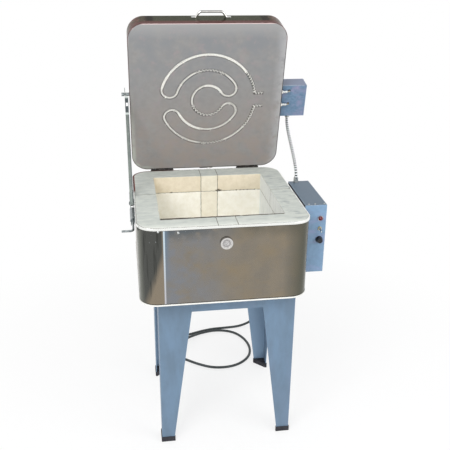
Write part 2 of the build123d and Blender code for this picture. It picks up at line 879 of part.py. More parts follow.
def prop_arm():
    # drawn hanging straight down from its pivot, its flange to the front, then swung forward
    web = block(
        arm_web_out, arm_web_in, pivot_open[1] - arm_web / 2, pivot_open[1] + arm_web / 2,
        pivot_open[2] - arm_length, pivot_open[2] + arm_tip,
    )
    flange = block(
        arm_web_out, arm_web_out + arm_flange, pivot_open[1] - arm_web / 2, pivot_open[1] - arm_web / 2 + arm_sheet,
        pivot_open[2] - arm_length, pivot_open[2] - arm_flange_start,
    )
    arm = web + flange
    for travel, length in ((shut_travel, arm_slot_length), (lock_travel, arm_hole_length)):
        arm -= block(
            bolt_x - arm_slot_width / 2, bolt_x + arm_slot_width / 2,
            pivot_open[1] - arm_web / 2 - 1, pivot_open[1] - arm_web / 2 + arm_sheet + 1,
            pivot_open[2] - travel - length / 2, pivot_open[2] - travel + length / 2,
        )
    arm -= rod(
        (arm_web_out - 1, pivot_open[1], pivot_open[2]),
        (arm_web_in + 1, pivot_open[1], pivot_open[2]),
        pivot_radius + pivot_clearance,
    )
    return arm.rotate(Axis(pivot_open, (1, 0, 0)), -arm_angle)


nodes["prop_arm"] = [prop_arm()]
band_face = -half_width
shoulder = rod((band_face, pivot_y, pivot_z), (arm_web_in + seat_gap, pivot_y, pivot_z), pivot_spacer_radius)
shoulder += rod((band_face, pivot_y, pivot_z), (arm_web_out - wing_nut_height - 4, pivot_y, pivot_z), pivot_radius)
nodes["prop_pivot_bolt"] = [swing(shoulder)]
nut_start = arm_web_out - seat_gap
wing_nut = rod((nut_start, pivot_y, pivot_z), (nut_start - wing_nut_height, pivot_y, pivot_z), wing_nut_radius)
for side in (-1, 1):
    wing = block(
        nut_start - wing_nut_height - 5, nut_start - 1.5, pivot_y - 1.2, pivot_y + 1.2,
        min(pivot_z + side * 3.6, pivot_z + side * wing_span / 2), max(pivot_z + side * 3.6, pivot_z + side * wing_span / 2),
    )
    wing_nut += wing
wing_nut -= rod(
    (nut_start + 1, pivot_y, pivot_z), (nut_start - wing_nut_height - 9, pivot_y, pivot_z), pivot_radius + pivot_clearance
)
nodes["wing_nut"] = [swing(wing_nut)]

# Sliding bolt: a barrel, a keeper behind it and an L-handled rod drawn forward
barrel_front = barrel_rear - barrel_length
barrel = rod((bolt_x, barrel_front, bolt_z), (bolt_x, barrel_rear, bolt_z), barrel_radius)
barrel += block(
    -half_width - barrel_plate, -half_width, barrel_front, barrel_rear,
    bolt_z - barrel_plate_width / 2, bolt_z + barrel_plate_width / 2,
)
barrel += block(
    bolt_x, -half_width - barrel_plate / 2, barrel_front, barrel_rear, bolt_z - barrel_radius * 0.8, bolt_z + barrel_radius * 0.8
)
barrel -= rod((bolt_x, barrel_front - 1, bolt_z), (bolt_x, barrel_rear + 1, bolt_z), bolt_radius + bolt_clearance)
keeper = rod((bolt_x, keeper_front, bolt_z), (bolt_x, keeper_front + keeper_length, bolt_z), keeper_radius)
keeper += rod((bolt_x, keeper_front, bolt_z), (bolt_x, keeper_front + keeper_flange_sheet, bolt_z), keeper_flange * 0.85)
keeper += block(
    -half_width - barrel_plate, -half_width, keeper_front, keeper_front + keeper_length,
    bolt_z - barrel_plate_width / 2, bolt_z + barrel_plate_width / 2,
)
keeper += block(
    bolt_x, -half_width - barrel_plate / 2, keeper_front, keeper_front + keeper_length,
    bolt_z - keeper_radius * 0.8, bolt_z + keeper_radius * 0.8,
)
keeper -= rod(
    (bolt_x, keeper_front - 1, bolt_z), (bolt_x, keeper_front + keeper_bore_depth, bolt_z), bolt_radius + 0.6
)
bolt_tip = barrel_rear - bolt_tip_set_back
elbow_y = barrel_front - bolt_exposed
bolt_path = FilletPolyline(
    (bolt_x, bolt_tip, bolt_z), (bolt_x, elbow_y, bolt_z), (bolt_x - bolt_handle, elbow_y, bolt_z), radius=handle_turn
)
nodes["lock_bolt"] = [tube_along(bolt_path, bolt_radius)]
keeper_rear = keeper_front + keeper_length
plate_screw_rows = {
    "barrel": (barrel_front + plate_screw_inset, barrel_rear - plate_screw_inset),
    "keeper": (keeper_front + 2 * plate_screw_inset, keeper_rear - plate_screw_inset),
}
for which, rows in plate_screw_rows.items():
    for y_spot in rows:
        for z_step in (-plate_screw_offset, plate_screw_offset):
            spot = ((-half_width - barrel_plate, y_spot, bolt_z + z_step), (1, 0, 0), barrel_plate + jacket_sheet)
            body_screw_spots.append(spot)
            if which == "barrel":
                barrel -= screw_hole(*spot)
            else:
                keeper -= screw_hole(*spot)
nodes["bolt_barrel"] = [barrel]
nodes["bolt_keeper"] = [keeper]

# Control box: a folded shell, its back plate and the clips that hold it off the hot jacket
shell = block(shell_left, shell_right, control_front, control_back, shell_bottom, shell_top)
shell -= block(
    shell_left - 1, shell_right - control_sheet, control_front + control_sheet, control_back - control_sheet,
    shell_bottom + control_sheet, shell_top - control_sheet,
)
back_plate = block(
    shell_left, shell_left + control_sheet, control_front + control_sheet + box_fit, control_back - control_sheet - box_fit,
    shell_bottom + control_sheet + box_fit, shell_top - control_sheet - box_fit,
)
clips = []
for index in range(3):
    y_spot = standoff_first + index * standoff_pitch
    for z_spot in (shell_top - standoff_inset - standoff_height, shell_bottom + standoff_inset + control_sheet):
        web = block(half_width, shell_left, y_spot, y_spot + 2, z_spot, z_spot + standoff_height)
        foot_in_face = block(half_width, half_width + 1.5, y_spot, y_spot + standoff_width, z_spot, z_spot + standoff_height)
        foot_out_face = block(shell_left - 1.5, shell_left, y_spot, y_spot + standoff_width, z_spot, z_spot + standoff_height)
        clips.append(web + foot_in_face + foot_out_face)
nodes["box_standoffs"] = clips

# Pilot lamp
lamp_z = shell_top - lamp_drop
face = control_front
shell -= rod((fitting_x, face - 5, lamp_z), (fitting_x, face + 5, lamp_z), lamp_hole + hole_clearance)
bezel = rod((fitting_x, face, lamp_z), (fitting_x, face - lamp_bezel_height, lamp_z), lamp_bezel_radius)
bezel += rod((fitting_x, face, lamp_z), (fitting_x, face + lamp_body, lamp_z), lamp_hole)
bezel -= rod((fitting_x, face - 4, lamp_z), (fitting_x, face - 1, lamp_z), lamp_lens_radius + 0.1)
nodes["lamp_bezel"] = [bezel]
lens_base = face - 1 - 0.1
lens = rod((fitting_x, lens_base, lamp_z), (fitting_x, lens_base - 3.5, lamp_z), lamp_lens_radius)
dome = Pos(fitting_x, lens_base - 3.5, lamp_z) * Sphere(lamp_lens_radius)
lens += dome & block(fitting_x - 20, fitting_x + 20, lens_base - 20, lens_base - 3.5, lamp_z - 20, lamp_z + 20)
nodes["lamp_lens"] = [lens]

# Toggle switch
toggle_z = shell_top - toggle_drop
lever_pivot = face - toggle_bush_length + 4.0
shell -= rod((fitting_x, face - 5, toggle_z), (fitting_x, face + 5, toggle_z), toggle_bush + hole_clearance)
inside = face + control_sheet
case = block(
    fitting_x - toggle_case / 2, fitting_x + toggle_case / 2, inside, inside + toggle_case_depth,
    toggle_z - toggle_case_height / 2, toggle_z + toggle_case_height / 2,
)
case += rod((fitting_x, inside, toggle_z), (fitting_x, face - toggle_bush_length, toggle_z), toggle_bush)
case -= rod(
    (fitting_x, face - toggle_bush_length - 1, toggle_z), (fitting_x, lever_pivot + 4.0, toggle_z), toggle_bush - 1.0, 3.4
)
nodes["toggle_switch"] = [case]
nut = hexagon_rod((fitting_x, face, toggle_z), (fitting_x, face - toggle_nut_height, toggle_z), toggle_nut_radius)
nut -= rod((fitting_x, face + 1, toggle_z), (fitting_x, face - 5, toggle_z), toggle_bush + 0.1)
nodes["toggle_nut"] = [nut]
lever = Pos(fitting_x, lever_pivot, toggle_z) * Sphere(2.6)
tilt = math.radians(lever_tilt)
tip = (fitting_x, lever_pivot - lever_length * math.cos(tilt), toggle_z - lever_length * math.sin(tilt))
lever += rod((fitting_x, lever_pivot, toggle_z), tip, lever_radius, lever_knob)
lever += Pos(*tip) * Sphere(lever_knob)
nodes["toggle_lever"] = [lever]

# Rotary switch and its knob
knob_z = shell_top - knob_drop
shell -= rod((fitting_x, face - 5, knob_z), (fitting_x, face + 5, knob_z), shaft_radius + 1.0)
rotary = rod((fitting_x, inside, knob_z), (fitting_x, inside + switch_depth, knob_z), switch_radius)
rotary += rod((fitting_x, inside, knob_z), (fitting_x, face - shaft_length, knob_z), shaft_radius)
nodes["rotary_switch"] = [rotary]
knob = rod((fitting_x, face - knob_gap, knob_z), (fitting_x, face - knob_gap - knob_skirt_height, knob_z), knob_skirt)
knob += rod(
    (fitting_x, face - knob_gap - knob_skirt_height, knob_z), (fitting_x, face - knob_gap - knob_height, knob_z),
    knob_radius, knob_radius - 1.2,
)
knob -= rod((fitting_x, face + 1, knob_z), (fitting_x, face - shaft_length - 0.5, knob_z), shaft_radius + shaft_clearance)
knob -= block(
    fitting_x - 0.8, fitting_x + 0.8, face - knob_gap - knob_height - 1, face - knob_gap - knob_height + 1.0,
    knob_z, knob_z + knob_radius + 1,
)
nodes["control_knob"] = [knob]

# Terminal block on the back plate, and the wires inside the control box
block_x = shell_left + control_sheet
block_y = 20.0
block_z = shell_bottom + 60.0
terminal_block = block(
    block_x, block_x + block_height, block_y - block_length / 2, block_y + block_length / 2,
    block_z - block_width / 2, block_z + block_width / 2,
)
slots = 5
for index in range(slots):
    y_spot = block_y - block_length / 2 + (index + 0.5) * block_length / slots
    terminal_block -= block(
        block_x + block_height - 6, block_x + block_height + 1, y_spot - 6, y_spot + 6,
        block_z - block_width / 2 - 1, block_z + block_width / 2 + 1,
    )
nodes["terminal_block"] = [terminal_block]

switch_back = inside + switch_depth + 0.1
case_back = inside + toggle_case_depth + 0.1
wires = []
wire_routes = [
    [
        (fitting_x + 8, switch_back, knob_z - 4), (fitting_x + 8, switch_back + 30, knob_z - 4),
        (block_x + 40, block_y - 36, block_z + 60), (block_x + 10, block_y - 36, block_z + 40),
        (block_x + 10, block_y - 36, block_z + block_width / 2),
    ],
    [
        (fitting_x - 8, switch_back, knob_z - 4), (fitting_x - 8, switch_back + 44, knob_z - 10),
        (block_x + 26, block_y - 18, block_z + 70), (block_x + 10, block_y - 18, block_z + 44),
        (block_x + 10, block_y - 18, block_z + block_width / 2),
    ],
    [
        (fitting_x + 5, case_back, toggle_z + 6), (fitting_x + 5, case_back + 60, toggle_z + 4),
        (block_x + 34, block_y + 2, block_z + 90), (block_x + 10, block_y, block_z + 50),
        (block_x + 10, block_y, block_z + block_width / 2),
    ],
    [
        (fitting_x - 5, case_back, toggle_z - 6), (fitting_x - 5, case_back + 78, toggle_z - 2),
        (block_x + 20, block_y + 20, block_z + 100), (block_x + 10, block_y + 18, block_z + 54),
        (block_x + 10, block_y + 18, block_z + block_width / 2),
    ],
]
for route in wire_routes:
    wire_path = FilletPolyline(*route, radius=corner_radii(route, 0.4))
    wires.append(tube_along(wire_path, wire_radius))
nodes["box_wires"] = wires

# Hose fittings: one on the control box, one on the lid's wiring box
fitting_y = control_back - hose_back
shell -= rod(
    (hose_low_x, fitting_y, shell_top - 5), (hose_low_x, fitting_y, shell_top + 5), fitting_thread + hole_clearance
)


def hose_fitting():
    # drawn standing on the plane z = 0, its thread passing below through a sheet
    body = extrude(RegularPolygon(fitting_radius, 6), fitting_nut_height)
    body += Pos(0, 0, fitting_nut_height) * Cylinder(
        fitting_radius - 1.2, fitting_length - fitting_nut_height, align=(Align.CENTER, Align.CENTER, Align.MIN)
    )
    body += Pos(0, 0, -9) * Cylinder(fitting_thread, 9, align=(Align.CENTER, Align.CENTER, Align.MIN))
    body -= Pos(0, 0, -10) * Cylinder(hose_bore, 60, align=(Align.CENTER, Align.CENTER, Align.MIN))
    body -= Pos(0, 0, fitting_length - fitting_socket) * Cylinder(
        hose_radius + seat_gap, 20, align=(Align.CENTER, Align.CENTER, Align.MIN)
    )
    return body


nodes["hose_fitting_lower"] = [Pos(hose_low_x, fitting_y, shell_top) * hose_fitting()]
upper_place = Plane(origin=(hose_top_x, box_near_y, lid_fitting_z), x_dir=(1, 0, 0), z_dir=(0, 1, 0))
upper_fitting = upper_place * hose_fitting()
lid_box_base -= rod(
    (hose_top_x, box_near_y - 5, lid_fitting_z), (hose_top_x, box_near_y + 5, lid_fitting_z), fitting_thread + hole_clearance
)
nodes["hose_fitting_upper"] = [swing(upper_fitting)]

# Ribbed hose: straight out of each fitting, with a smooth curve between
socket_floor = fitting_length - fitting_socket + seat_gap
hose_low = Vector(hose_low_x, fitting_y, shell_top + socket_floor)
hose_top = Vector(*swung_point(hose_top_x, box_near_y + socket_floor, lid_fitting_z))
lean = math.radians(90 - lid_open)
low_leaves = Vector(0, 0, 1)
top_leaves = Vector(0, math.sin(lean), -math.cos(lean))
curve_start = hose_low + low_leaves * hose_straight
curve_end = hose_top + top_leaves * hose_straight


def curve_point(t):
    # a cubic that leaves both straight ends in their own direction
    s = 1 - t
    near = curve_start + low_leaves * hose_sweep_low
    far = curve_end + top_leaves * hose_sweep_top
    return curve_start * (s**3) + near * (3 * s * s * t) + far * (3 * s * t * t) + curve_end * (t**3)


curve_steps = 400
curve_travel = [0.0]
for index in range(curve_steps):
    chord = curve_point((index + 1) / curve_steps) - curve_point(index / curve_steps)
    curve_travel.append(curve_travel[-1] + chord.length)
hose_length = curve_travel[-1] + 2 * hose_straight
hose_ribs = round(hose_length / hose_pitch)


def hose_point(travel):
    # the place on the hose at a distance from its lower end
    if travel <= hose_straight:
        return hose_low + low_leaves * travel
    if travel >= hose_length - hose_straight:
        return hose_top + top_leaves * (hose_length - travel)
    along = travel - hose_straight
    index = max(i for i in range(curve_steps) if curve_travel[i] <= along)
    share = (along - curve_travel[index]) / (curve_travel[index + 1] - curve_travel[index])
    return curve_point((index + share) / curve_steps)


def hose_ring(travel, radius):
    low = max(travel - 0.3, 0.0)
    high = min(travel + 0.3, hose_length)
    plane = Plane(origin=hose_point(travel), x_dir=(1, 0, 0), z_dir=hose_point(high) - hose_point(low))
    return plane * Circle(radius)


def ribbed_skin():
    # four circles to a rib, each square to the curve
    rings = []
    rib = hose_length / hose_ribs
    for index in range(hose_ribs):
        for share, drop in ((0.0, hose_rib), (0.3, 0.0), (0.6, 0.0), (0.9, hose_rib)):
            rings.append(hose_ring((index + share) * rib, hose_radius - drop))
    rings.append(hose_ring(hose_length, hose_radius - hose_rib))
    return loft(rings, ruled=True)


def hose_hollow():
    count = 40
    return loft([hose_ring(hose_length * index / count, hose_bore) for index in range(count + 1)], ruled=True)


nodes["wiring_hose"] = [ribbed_skin() - hose_hollow()]

# Mains cord: strain relief on the control box, free cord, and its plug on the floor
relief = (cord_x, control_back, cord_height)
shell -= rod((cord_x, control_back - 5, cord_height), (cord_x, control_back + 5, cord_height), relief_root - 2 + hole_clearance)
relief_solid = rod((cord_x, control_back - 8, cord_height), (cord_x, control_back, cord_height), relief_root - 2)
relief_solid += rod(
    (cord_x, control_back, cord_height), (cord_x, control_back + relief_flange_height, cord_height), relief_flange
)
relief_end = control_back + relief_flange_height + relief_length
relief_solid += rod(
    (cord_x, control_back + relief_flange_height, cord_height), (cord_x, relief_end, cord_height),
    relief_root, cord_radius + 1.2,
)
nodes["strain_relief"] = [relief_solid]

floor_line = cord_radius + 0.1
plug_line = plug_height / 2 + 0.1
cord_points = [
    (cord_x, relief_end, cord_height),
    (cord_x, relief_end + 62, cord_height),
    (cord_x - 4, relief_end + 128, cord_height - 26),
    (cord_x - 11, relief_end + 192, cord_height - 104),
    (cord_x - 19, relief_end + 238, cord_height - 206),
    (cord_x - 27, relief_end + 274, cord_height - 324),
    (290, 444, 214),
    (280, 478, 116),
    (262, 512, 44),
    (222, 531, 14),
    (164, 528, floor_line),
    (96, 512, floor_line),
    (20, 497, floor_line),
    (-58, 478, floor_line),
    (-134, 452, floor_line),
    (-188, 396, floor_line),
    (-172, 324, floor_line),
    (-104, 296, floor_line),
    (-34, 246, floor_line),
    (40, 206, floor_line),
    (124, 216, floor_line),
    (190, 270, floor_line),
    (220, 346, floor_line),
    (204, 420, floor_line),
    (150, 470, floor_line),
    (78, 488, floor_line),
    (8, 472, floor_line),
    (-44, 448, plug_line),
    (-86, 424, plug_line),
]
cord_radii = corner_radii(cord_points)
cord_path = FilletPolyline(*cord_points, radius=cord_radii)
cord = tube_along(cord_path, cord_radius)
nodes["power_cord"] = [cord]

plug_from = Vector(*cord_points[-1])
plug_run = Vector(cord_points[-1][0] - cord_points[-2][0], cord_points[-1][1] - cord_points[-2][1], 0).normalized()
plug_plane = Plane(origin=plug_from, x_dir=(-plug_run.Y, plug_run.X, 0), z_dir=plug_run)
plug_body = Pos(0, 0, plug_neck) * extrude(RectangleRounded(plug_width, plug_height, 6), plug_length)
plug_body += Cone(cord_radius + 1.2, plug_height / 2 - 1.5, plug_neck, align=(Align.CENTER, Align.CENTER, Align.MIN))
nodes["cord_plug"] = [plug_plane * plug_body]
blade_start = plug_neck + plug_length
blades = []
for side in (-1, 1):
    blade = Pos(side * blade_pitch / 2, 2.0, blade_start + blade_length / 2) * Box(blade_sheet, blade_width, blade_length)
    blades.append(plug_plane * blade)
earth = Pos(0, -earth_offset, blade_start) * Cylinder(
    earth_radius, earth_length, align=(Align.CENTER, Align.CENTER, Align.MIN)
)
blades.append(plug_plane * earth)
nodes["plug_blades"] = blades

# Control box screws
control_screws = []
for x_spot in (shell_left + 14, shell_left + 36, shell_right - 8):
    spot = ((x_spot, control_front + 9, shell_top), (0, 0, -1), control_sheet)
    control_screws.append(screw(*spot))
    shell -= screw_hole(*spot)
for y_spot in (control_front + 60, control_back - 40):
    spot = ((shell_right, y_spot, shell_bottom + 14), (-1, 0, 0), control_sheet)
    control_screws.append(screw(*spot))
    shell -= screw_hole(*spot)
nodes["control_box_shell"] = [shell]
nodes["control_box_back"] = [back_plate]
nodes["control_box_screws"] = control_screws

# Jacket screws: along the front near the hem, and round the left front corner
for x_spot, drop in ((64.0 - half_width, 12.4), (127.0 - half_width, 19.0)):
    spot = ((x_spot, -half_depth, body_top - drop), (0, 1, 0), jacket_sheet)
    body_screw_spots.append(spot)
for spot in body_screw_spots:
    jacket -= screw_hole(*spot)
for spot in lid_screw_spots:
    band -= screw_hole(*spot)
    handle -= screw_hole(*spot)
nodes["jacket"] = [jacket]
nodes["body_screws"] = [screw(*spot) for spot in body_screw_spots]
nodes["lid_band"] = [swing(band)]
nodes["lid_handle"] = [swing(handle)]
nodes["lid_screws"] = [swing(screw(*spot)) for spot in lid_screw_spots]
nodes["lid_box_base"] = [swing(lid_box_base)]
nodes["lid_box_cover"] = [swing(lid_box_cover)]

# Move everything so that the origin is the bottom centre of the object without its free cord
cord_nodes = ("power_cord", "cord_plug", "plug_blades")
held = Compound(children=[solid for name, solids in nodes.items() if name not in cord_nodes for solid in solids])
box = held.bounding_box()
shift_x = -(box.min.X + box.max.X) / 2
shift_y = -(box.min.Y + box.max.Y) / 2


def placed(solids):
    flat = []
    for item in solids:
        flat += list(item.solids())
    moved = [Pos(shift_x, shift_y, 0) * solid for solid in flat]
    return moved[0] if len(moved) == 1 else Compound(children=moved)


os.makedirs("parts", exist_ok=True)
for name, solids in nodes.items():
    export_step(placed(solids), "parts/" + name + ".step")

cord_volume = math.pi * cord_radius**2 * cord_path.length
print("nodes", len(nodes))
print("origin moved by", round(shift_x, 3), round(shift_y, 3))
print("box", [round(v, 2) for v in (*box.min, *box.max)])
print("cord length", round(cord_path.length, 1), "volume share", round(cord.volume / cord_volume, 5))
print("cord radii", [round(r) for r in cord_radii])
print("hose length", round(hose_length, 1), "ribs", hose_ribs)
print("pivot open", [round(v, 3) for v in pivot_open], "arm angle", round(arm_angle, 3), "lock", round(lock_travel, 2))
print("bolt line", round(bolt_x, 2), round(bolt_z, 2))
print("element path", round(total, 1))
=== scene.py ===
import json
import math

import bmesh
import bpy
from mathutils import Matrix, Vector, kdtree, noise

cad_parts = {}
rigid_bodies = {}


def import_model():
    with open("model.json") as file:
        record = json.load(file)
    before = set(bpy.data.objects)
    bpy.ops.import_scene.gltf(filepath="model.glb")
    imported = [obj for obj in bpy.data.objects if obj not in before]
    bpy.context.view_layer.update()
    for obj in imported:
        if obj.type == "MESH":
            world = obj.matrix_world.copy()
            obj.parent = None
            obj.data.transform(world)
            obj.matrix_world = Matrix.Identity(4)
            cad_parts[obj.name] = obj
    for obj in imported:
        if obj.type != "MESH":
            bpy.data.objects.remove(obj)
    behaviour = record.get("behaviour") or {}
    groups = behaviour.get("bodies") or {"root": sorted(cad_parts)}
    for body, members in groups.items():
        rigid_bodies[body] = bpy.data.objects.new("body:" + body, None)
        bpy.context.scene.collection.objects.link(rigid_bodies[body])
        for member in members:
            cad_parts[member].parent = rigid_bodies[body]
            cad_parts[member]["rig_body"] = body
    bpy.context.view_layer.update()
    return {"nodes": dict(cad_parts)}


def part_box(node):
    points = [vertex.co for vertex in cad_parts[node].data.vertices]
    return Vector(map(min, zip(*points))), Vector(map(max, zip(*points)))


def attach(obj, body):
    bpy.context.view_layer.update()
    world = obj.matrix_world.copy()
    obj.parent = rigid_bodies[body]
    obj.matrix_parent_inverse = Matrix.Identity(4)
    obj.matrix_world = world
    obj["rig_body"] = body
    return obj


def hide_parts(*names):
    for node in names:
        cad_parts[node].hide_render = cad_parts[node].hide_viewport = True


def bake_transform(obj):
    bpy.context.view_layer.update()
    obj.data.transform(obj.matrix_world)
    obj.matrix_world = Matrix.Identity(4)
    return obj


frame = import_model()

nodes = frame["nodes"]

# Places are in millimetres about the middle of the kiln body, with the floor at 0, and those on the lid are
# given as if it were shut
jacketLow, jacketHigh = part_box("jacket")
bodyMiddle = (jacketLow + jacketHigh) / 2
hinge = {"y": 287.9, "z": 876.5, "open": 77.5}


def place(x, y, z):
    return Vector((x / 1000 + bodyMiddle.x, y / 1000 + bodyMiddle.y, z / 1000))


hingeLine = place(0, hinge["y"], hinge["z"])
opening = Matrix.Rotation(math.radians(-hinge["open"]), 4, "X")
opening = Matrix.Translation(hingeLine) @ opening @ Matrix.Translation(-hingeLine)
shutting = opening.inverted()


def onLid(x, y, z):
    # a point of the shut lid, carried to where the open lid has it
    return opening @ place(x, y, z)


# Camera at the photograph's view, its turns in degrees
camera = {
    "x": -300.197, "y": -2188.424, "z": 1696.36, "pan": -8.77, "tilt": -23.014, "roll": -0.653, "lens": 53.51,
    "sensor": 36, "farthest": 30,
}


def makeCamera(values):
    data = bpy.data.cameras.new("camera")
    data.sensor_width = values["sensor"]
    data.lens = values["lens"]
    data.clip_end = values["farthest"]
    made = bpy.data.objects.new("camera", data)
    bpy.context.scene.collection.objects.link(made)
    turn = Matrix.Rotation(math.radians(values["pan"]), 4, "Z")
    turn = turn @ Matrix.Rotation(math.radians(values["tilt"]), 4, "X")
    turn = turn @ Matrix.Rotation(math.radians(values["roll"]), 4, "Y")
    turn = turn @ Matrix.Rotation(math.radians(90), 4, "X")
    made.matrix_world = Matrix.Translation(place(values["x"], values["y"], values["z"])) @ turn
    bpy.context.scene.camera = made


makeCamera(camera)
bpy.context.scene.view_settings.view_transform = "Standard"
print("camera set")


def addObject(name, data):
    made = bpy.data.objects.new(name, data)
    bpy.context.scene.collection.objects.link(made)
    return made


# Materials: helpers, with sizes in millimetres
def toLinear(code):
    channels = [int(code[index:index + 2], 16) / 255 for index in (0, 2, 4)]
    linear = [c / 12.92 if c <= 0.04045 else ((c + 0.055) / 1.055) ** 2.4 for c in channels]
    return (*linear, 1.0)


def perMm(size):
    # a texture scale whose features are about this many millimetres across
    return 1000 / size


def addNode(tree, kind, inputs=None, out=0, **settings):
    made = tree.nodes.new("ShaderNode" + kind)
    for name, value in settings.items():
        setattr(made, name, value)
    for name, value in (inputs or {}).items():
        if isinstance(value, bpy.types.NodeSocket):
            tree.links.new(value, made.inputs[name])
        else:
            made.inputs[name].default_value = value
    return made.outputs[out]


# The shader's own sockets, each with its name in a finish and what it is where the finish leaves it out
basics = {
    "Metallic": ("metallic", 0.0), "Roughness": ("rough", 0.5), "Coat Weight": ("coat", 0.0),
    "Coat Roughness": ("coatRough", 0.25), "Specular IOR Level": ("specular", 0.5),
}


def startMaterial(name, look):
    material = bpy.data.materials.new(name)
    material.use_nodes = True
    tree = material.node_tree
    shader = tree.nodes["Principled BSDF"]
    for socket, (key, usual) in basics.items():
        shader.inputs[socket].default_value = look.get(key, usual)
    spot = addNode(tree, "TexCoord", out="Object")
    return material, tree, shader, spot


def patches(tree, spot, size, low=0.38, high=0.62, stretch=(1, 1, 1), detail=4.0):
    # cloudy areas of a size in millimetres, from 0 outside them to 1 inside
    laid = addNode(tree, "Mapping", {"Vector": spot, "Scale": stretch})
    cloud = addNode(tree, "TexNoise", {
        "Vector": laid, "Scale": perMm(size), "Detail": detail, "Roughness": 0.6,
    })
    return addNode(tree, "MapRange", {"Value": cloud, "From Min": low, "From Max": high})


def cloudsOf(tree, spot, look):
    # the patches of a finish by name: each has its size, and may have limits, a stretch and its detail
    return {name: patches(tree, spot, *values) for name, values in look["clouds"].items()}


def passing(tree, spot, axis, start, whole):
    # 0 before one place along an axis, 1 past the other
    middle = {"X": bodyMiddle.x, "Y": bodyMiddle.y, "Z": 0.0}[axis]
    along = addNode(tree, "SeparateXYZ", {0: spot}, axis)
    return addNode(tree, "MapRange", {
        "Value": along, "From Min": start / 1000 + middle, "From Max": whole / 1000 + middle,
    })


def zonesOf(tree, spot, look):
    # the zones of a finish by name, each with its axis, where it starts and where it is whole
    return {name: passing(tree, spot, *values) for name, values in look["zones"].items()}


lineFade = {"start": 1.3, "whole": 0.8}  # where a line starts and is whole, in halves of its width


def lineAt(tree, value, where, half):
    # a thin line where a coordinate, given in metres, passes one place
    away = addNode(tree, "Math", {0: value, 1: where}, operation="SUBTRACT")
    away = addNode(tree, "Math", {0: away}, operation="ABSOLUTE")
    return addNode(tree, "MapRange", {
        "Value": away, "From Min": half * lineFade["start"], "From Max": half * lineFade["whole"],
    })


def both(tree, *shares):
    # the part that lies in every one of these shares
    total = shares[0]
    for share in shares[1:]:
        total = addNode(tree, "Math", {0: total, 1: share}, operation="MULTIPLY")
    return total


def laidOver(tree, under, layers):
    # colours over one another, each where its share says; a colour mix takes them at 6 and 7, gives one at 2
    colour = under
    for share, code in layers:
        over = toLinear(code) if isinstance(code, str) else code
        colour = addNode(tree, "Mix", {0: share, 6: colour, 7: over}, 2, data_type="RGBA")
    return colour


def shutSpot(tree, spot):
    # the place on the lid as if it were shut
    return addNode(tree, "Mapping", {
        "Vector": spot, "Rotation": tuple(shutting.to_euler()), "Location": tuple(shutting.translation),
    })


grainCloud = {"limits": (0.3, 0.7), "detail": 3.0}


def surface(tree, shader, colour, spot, look):
    # colour, with roughness and relief from one grain
    stretch = look.get("stretch", (1, 1, 1))
    grain = patches(tree, spot, look["grain"], *grainCloud["limits"], stretch, grainCloud["detail"])
    low, high = look["roughness"]
    rough = addNode(tree, "MapRange", {"Value": grain, "To Min": low, "To Max": high})
    tree.links.new(colour, shader.inputs["Base Color"])
    tree.links.new(rough, shader.inputs["Roughness"])
    relief = addNode(tree, "Bump", {"Height": grain, "Distance": look["depth"] / 1000})
    tree.links.new(relief, shader.inputs["Normal"])


# Pale edges, worn and with a painted highlight: the patches that break them up, and the cosines of the turn
# where they start and are whole
paleEdging = {"size": 9, "broken": (0.34, 0.5), "start": 0.995, "whole": 0.93, "samples": 4}


def edgeWearAndSheen(tree, spot, width, size=paleEdging["size"]):
    # the pale part near sharp edges, worn and with a painted highlight, broken up by patches
    rounded = addNode(tree, "Bevel", {"Radius": width / 1000}, samples=paleEdging["samples"])
    flat = addNode(tree, "NewGeometry", out="Normal")
    agree = addNode(tree, "VectorMath", {0: rounded, 1: flat}, "Value", operation="DOT_PRODUCT")
    near = addNode(tree, "MapRange", {
        "Value": agree, "From Min": paleEdging["start"], "From Max": paleEdging["whole"],
    })
    return both(tree, near, patches(tree, spot, size, *paleEdging["broken"]))


# Faces of a piece that look one way and take painted shade or light: the axis of their normal, and from where
# to where they count
facings = {"paintedTopShade": ("Z", 0.8, 0.95), "paintedFrontLight": ("Y", -0.8, -0.95)}
castCloud = {"spread": 2.3, "limits": (0.5, 0.75)}  # the third colour's cloud, wider than the second's


def plainFinish(name, look):
    material, tree, shader, spot = startMaterial(name, look)
    layers = [(patches(tree, spot, look["patch"], stretch=look.get("stretch", (1, 1, 1))), look["shade"])]
    if "cast" in look:
        wide = look["patch"] * castCloud["spread"]
        stretch = look.get("castStretch", (1, 1, 1))
        layers.append((patches(tree, spot, wide, *castCloud["limits"], stretch), look["cast"]))
    for facing, (axis, start, whole) in facings.items():
        if facing in look:
            normal = addNode(tree, "SeparateXYZ", {0: addNode(tree, "TexCoord", out="Normal")}, axis)
            share = addNode(tree, "MapRange", {"Value": normal, "From Min": start, "From Max": whole})
            layers.append((share, look[facing]))
    # painted shade in the valleys of a piece that marks them
    if "valley" in look:
        layers.append((addNode(tree, "Attribute", out="Fac", attribute_name="valley"), look["valley"]))
    # pale edges, worn and with a painted highlight
    if "wearAndSheen" in look:
        layers.append((edgeWearAndSheen(tree, spot, look["wearAndSheenWidth"]), look["wearAndSheen"]))
    colour = laidOver(tree, toLinear(look["colour"]), layers)
    surface(tree, shader, colour, spot, look)
    return material
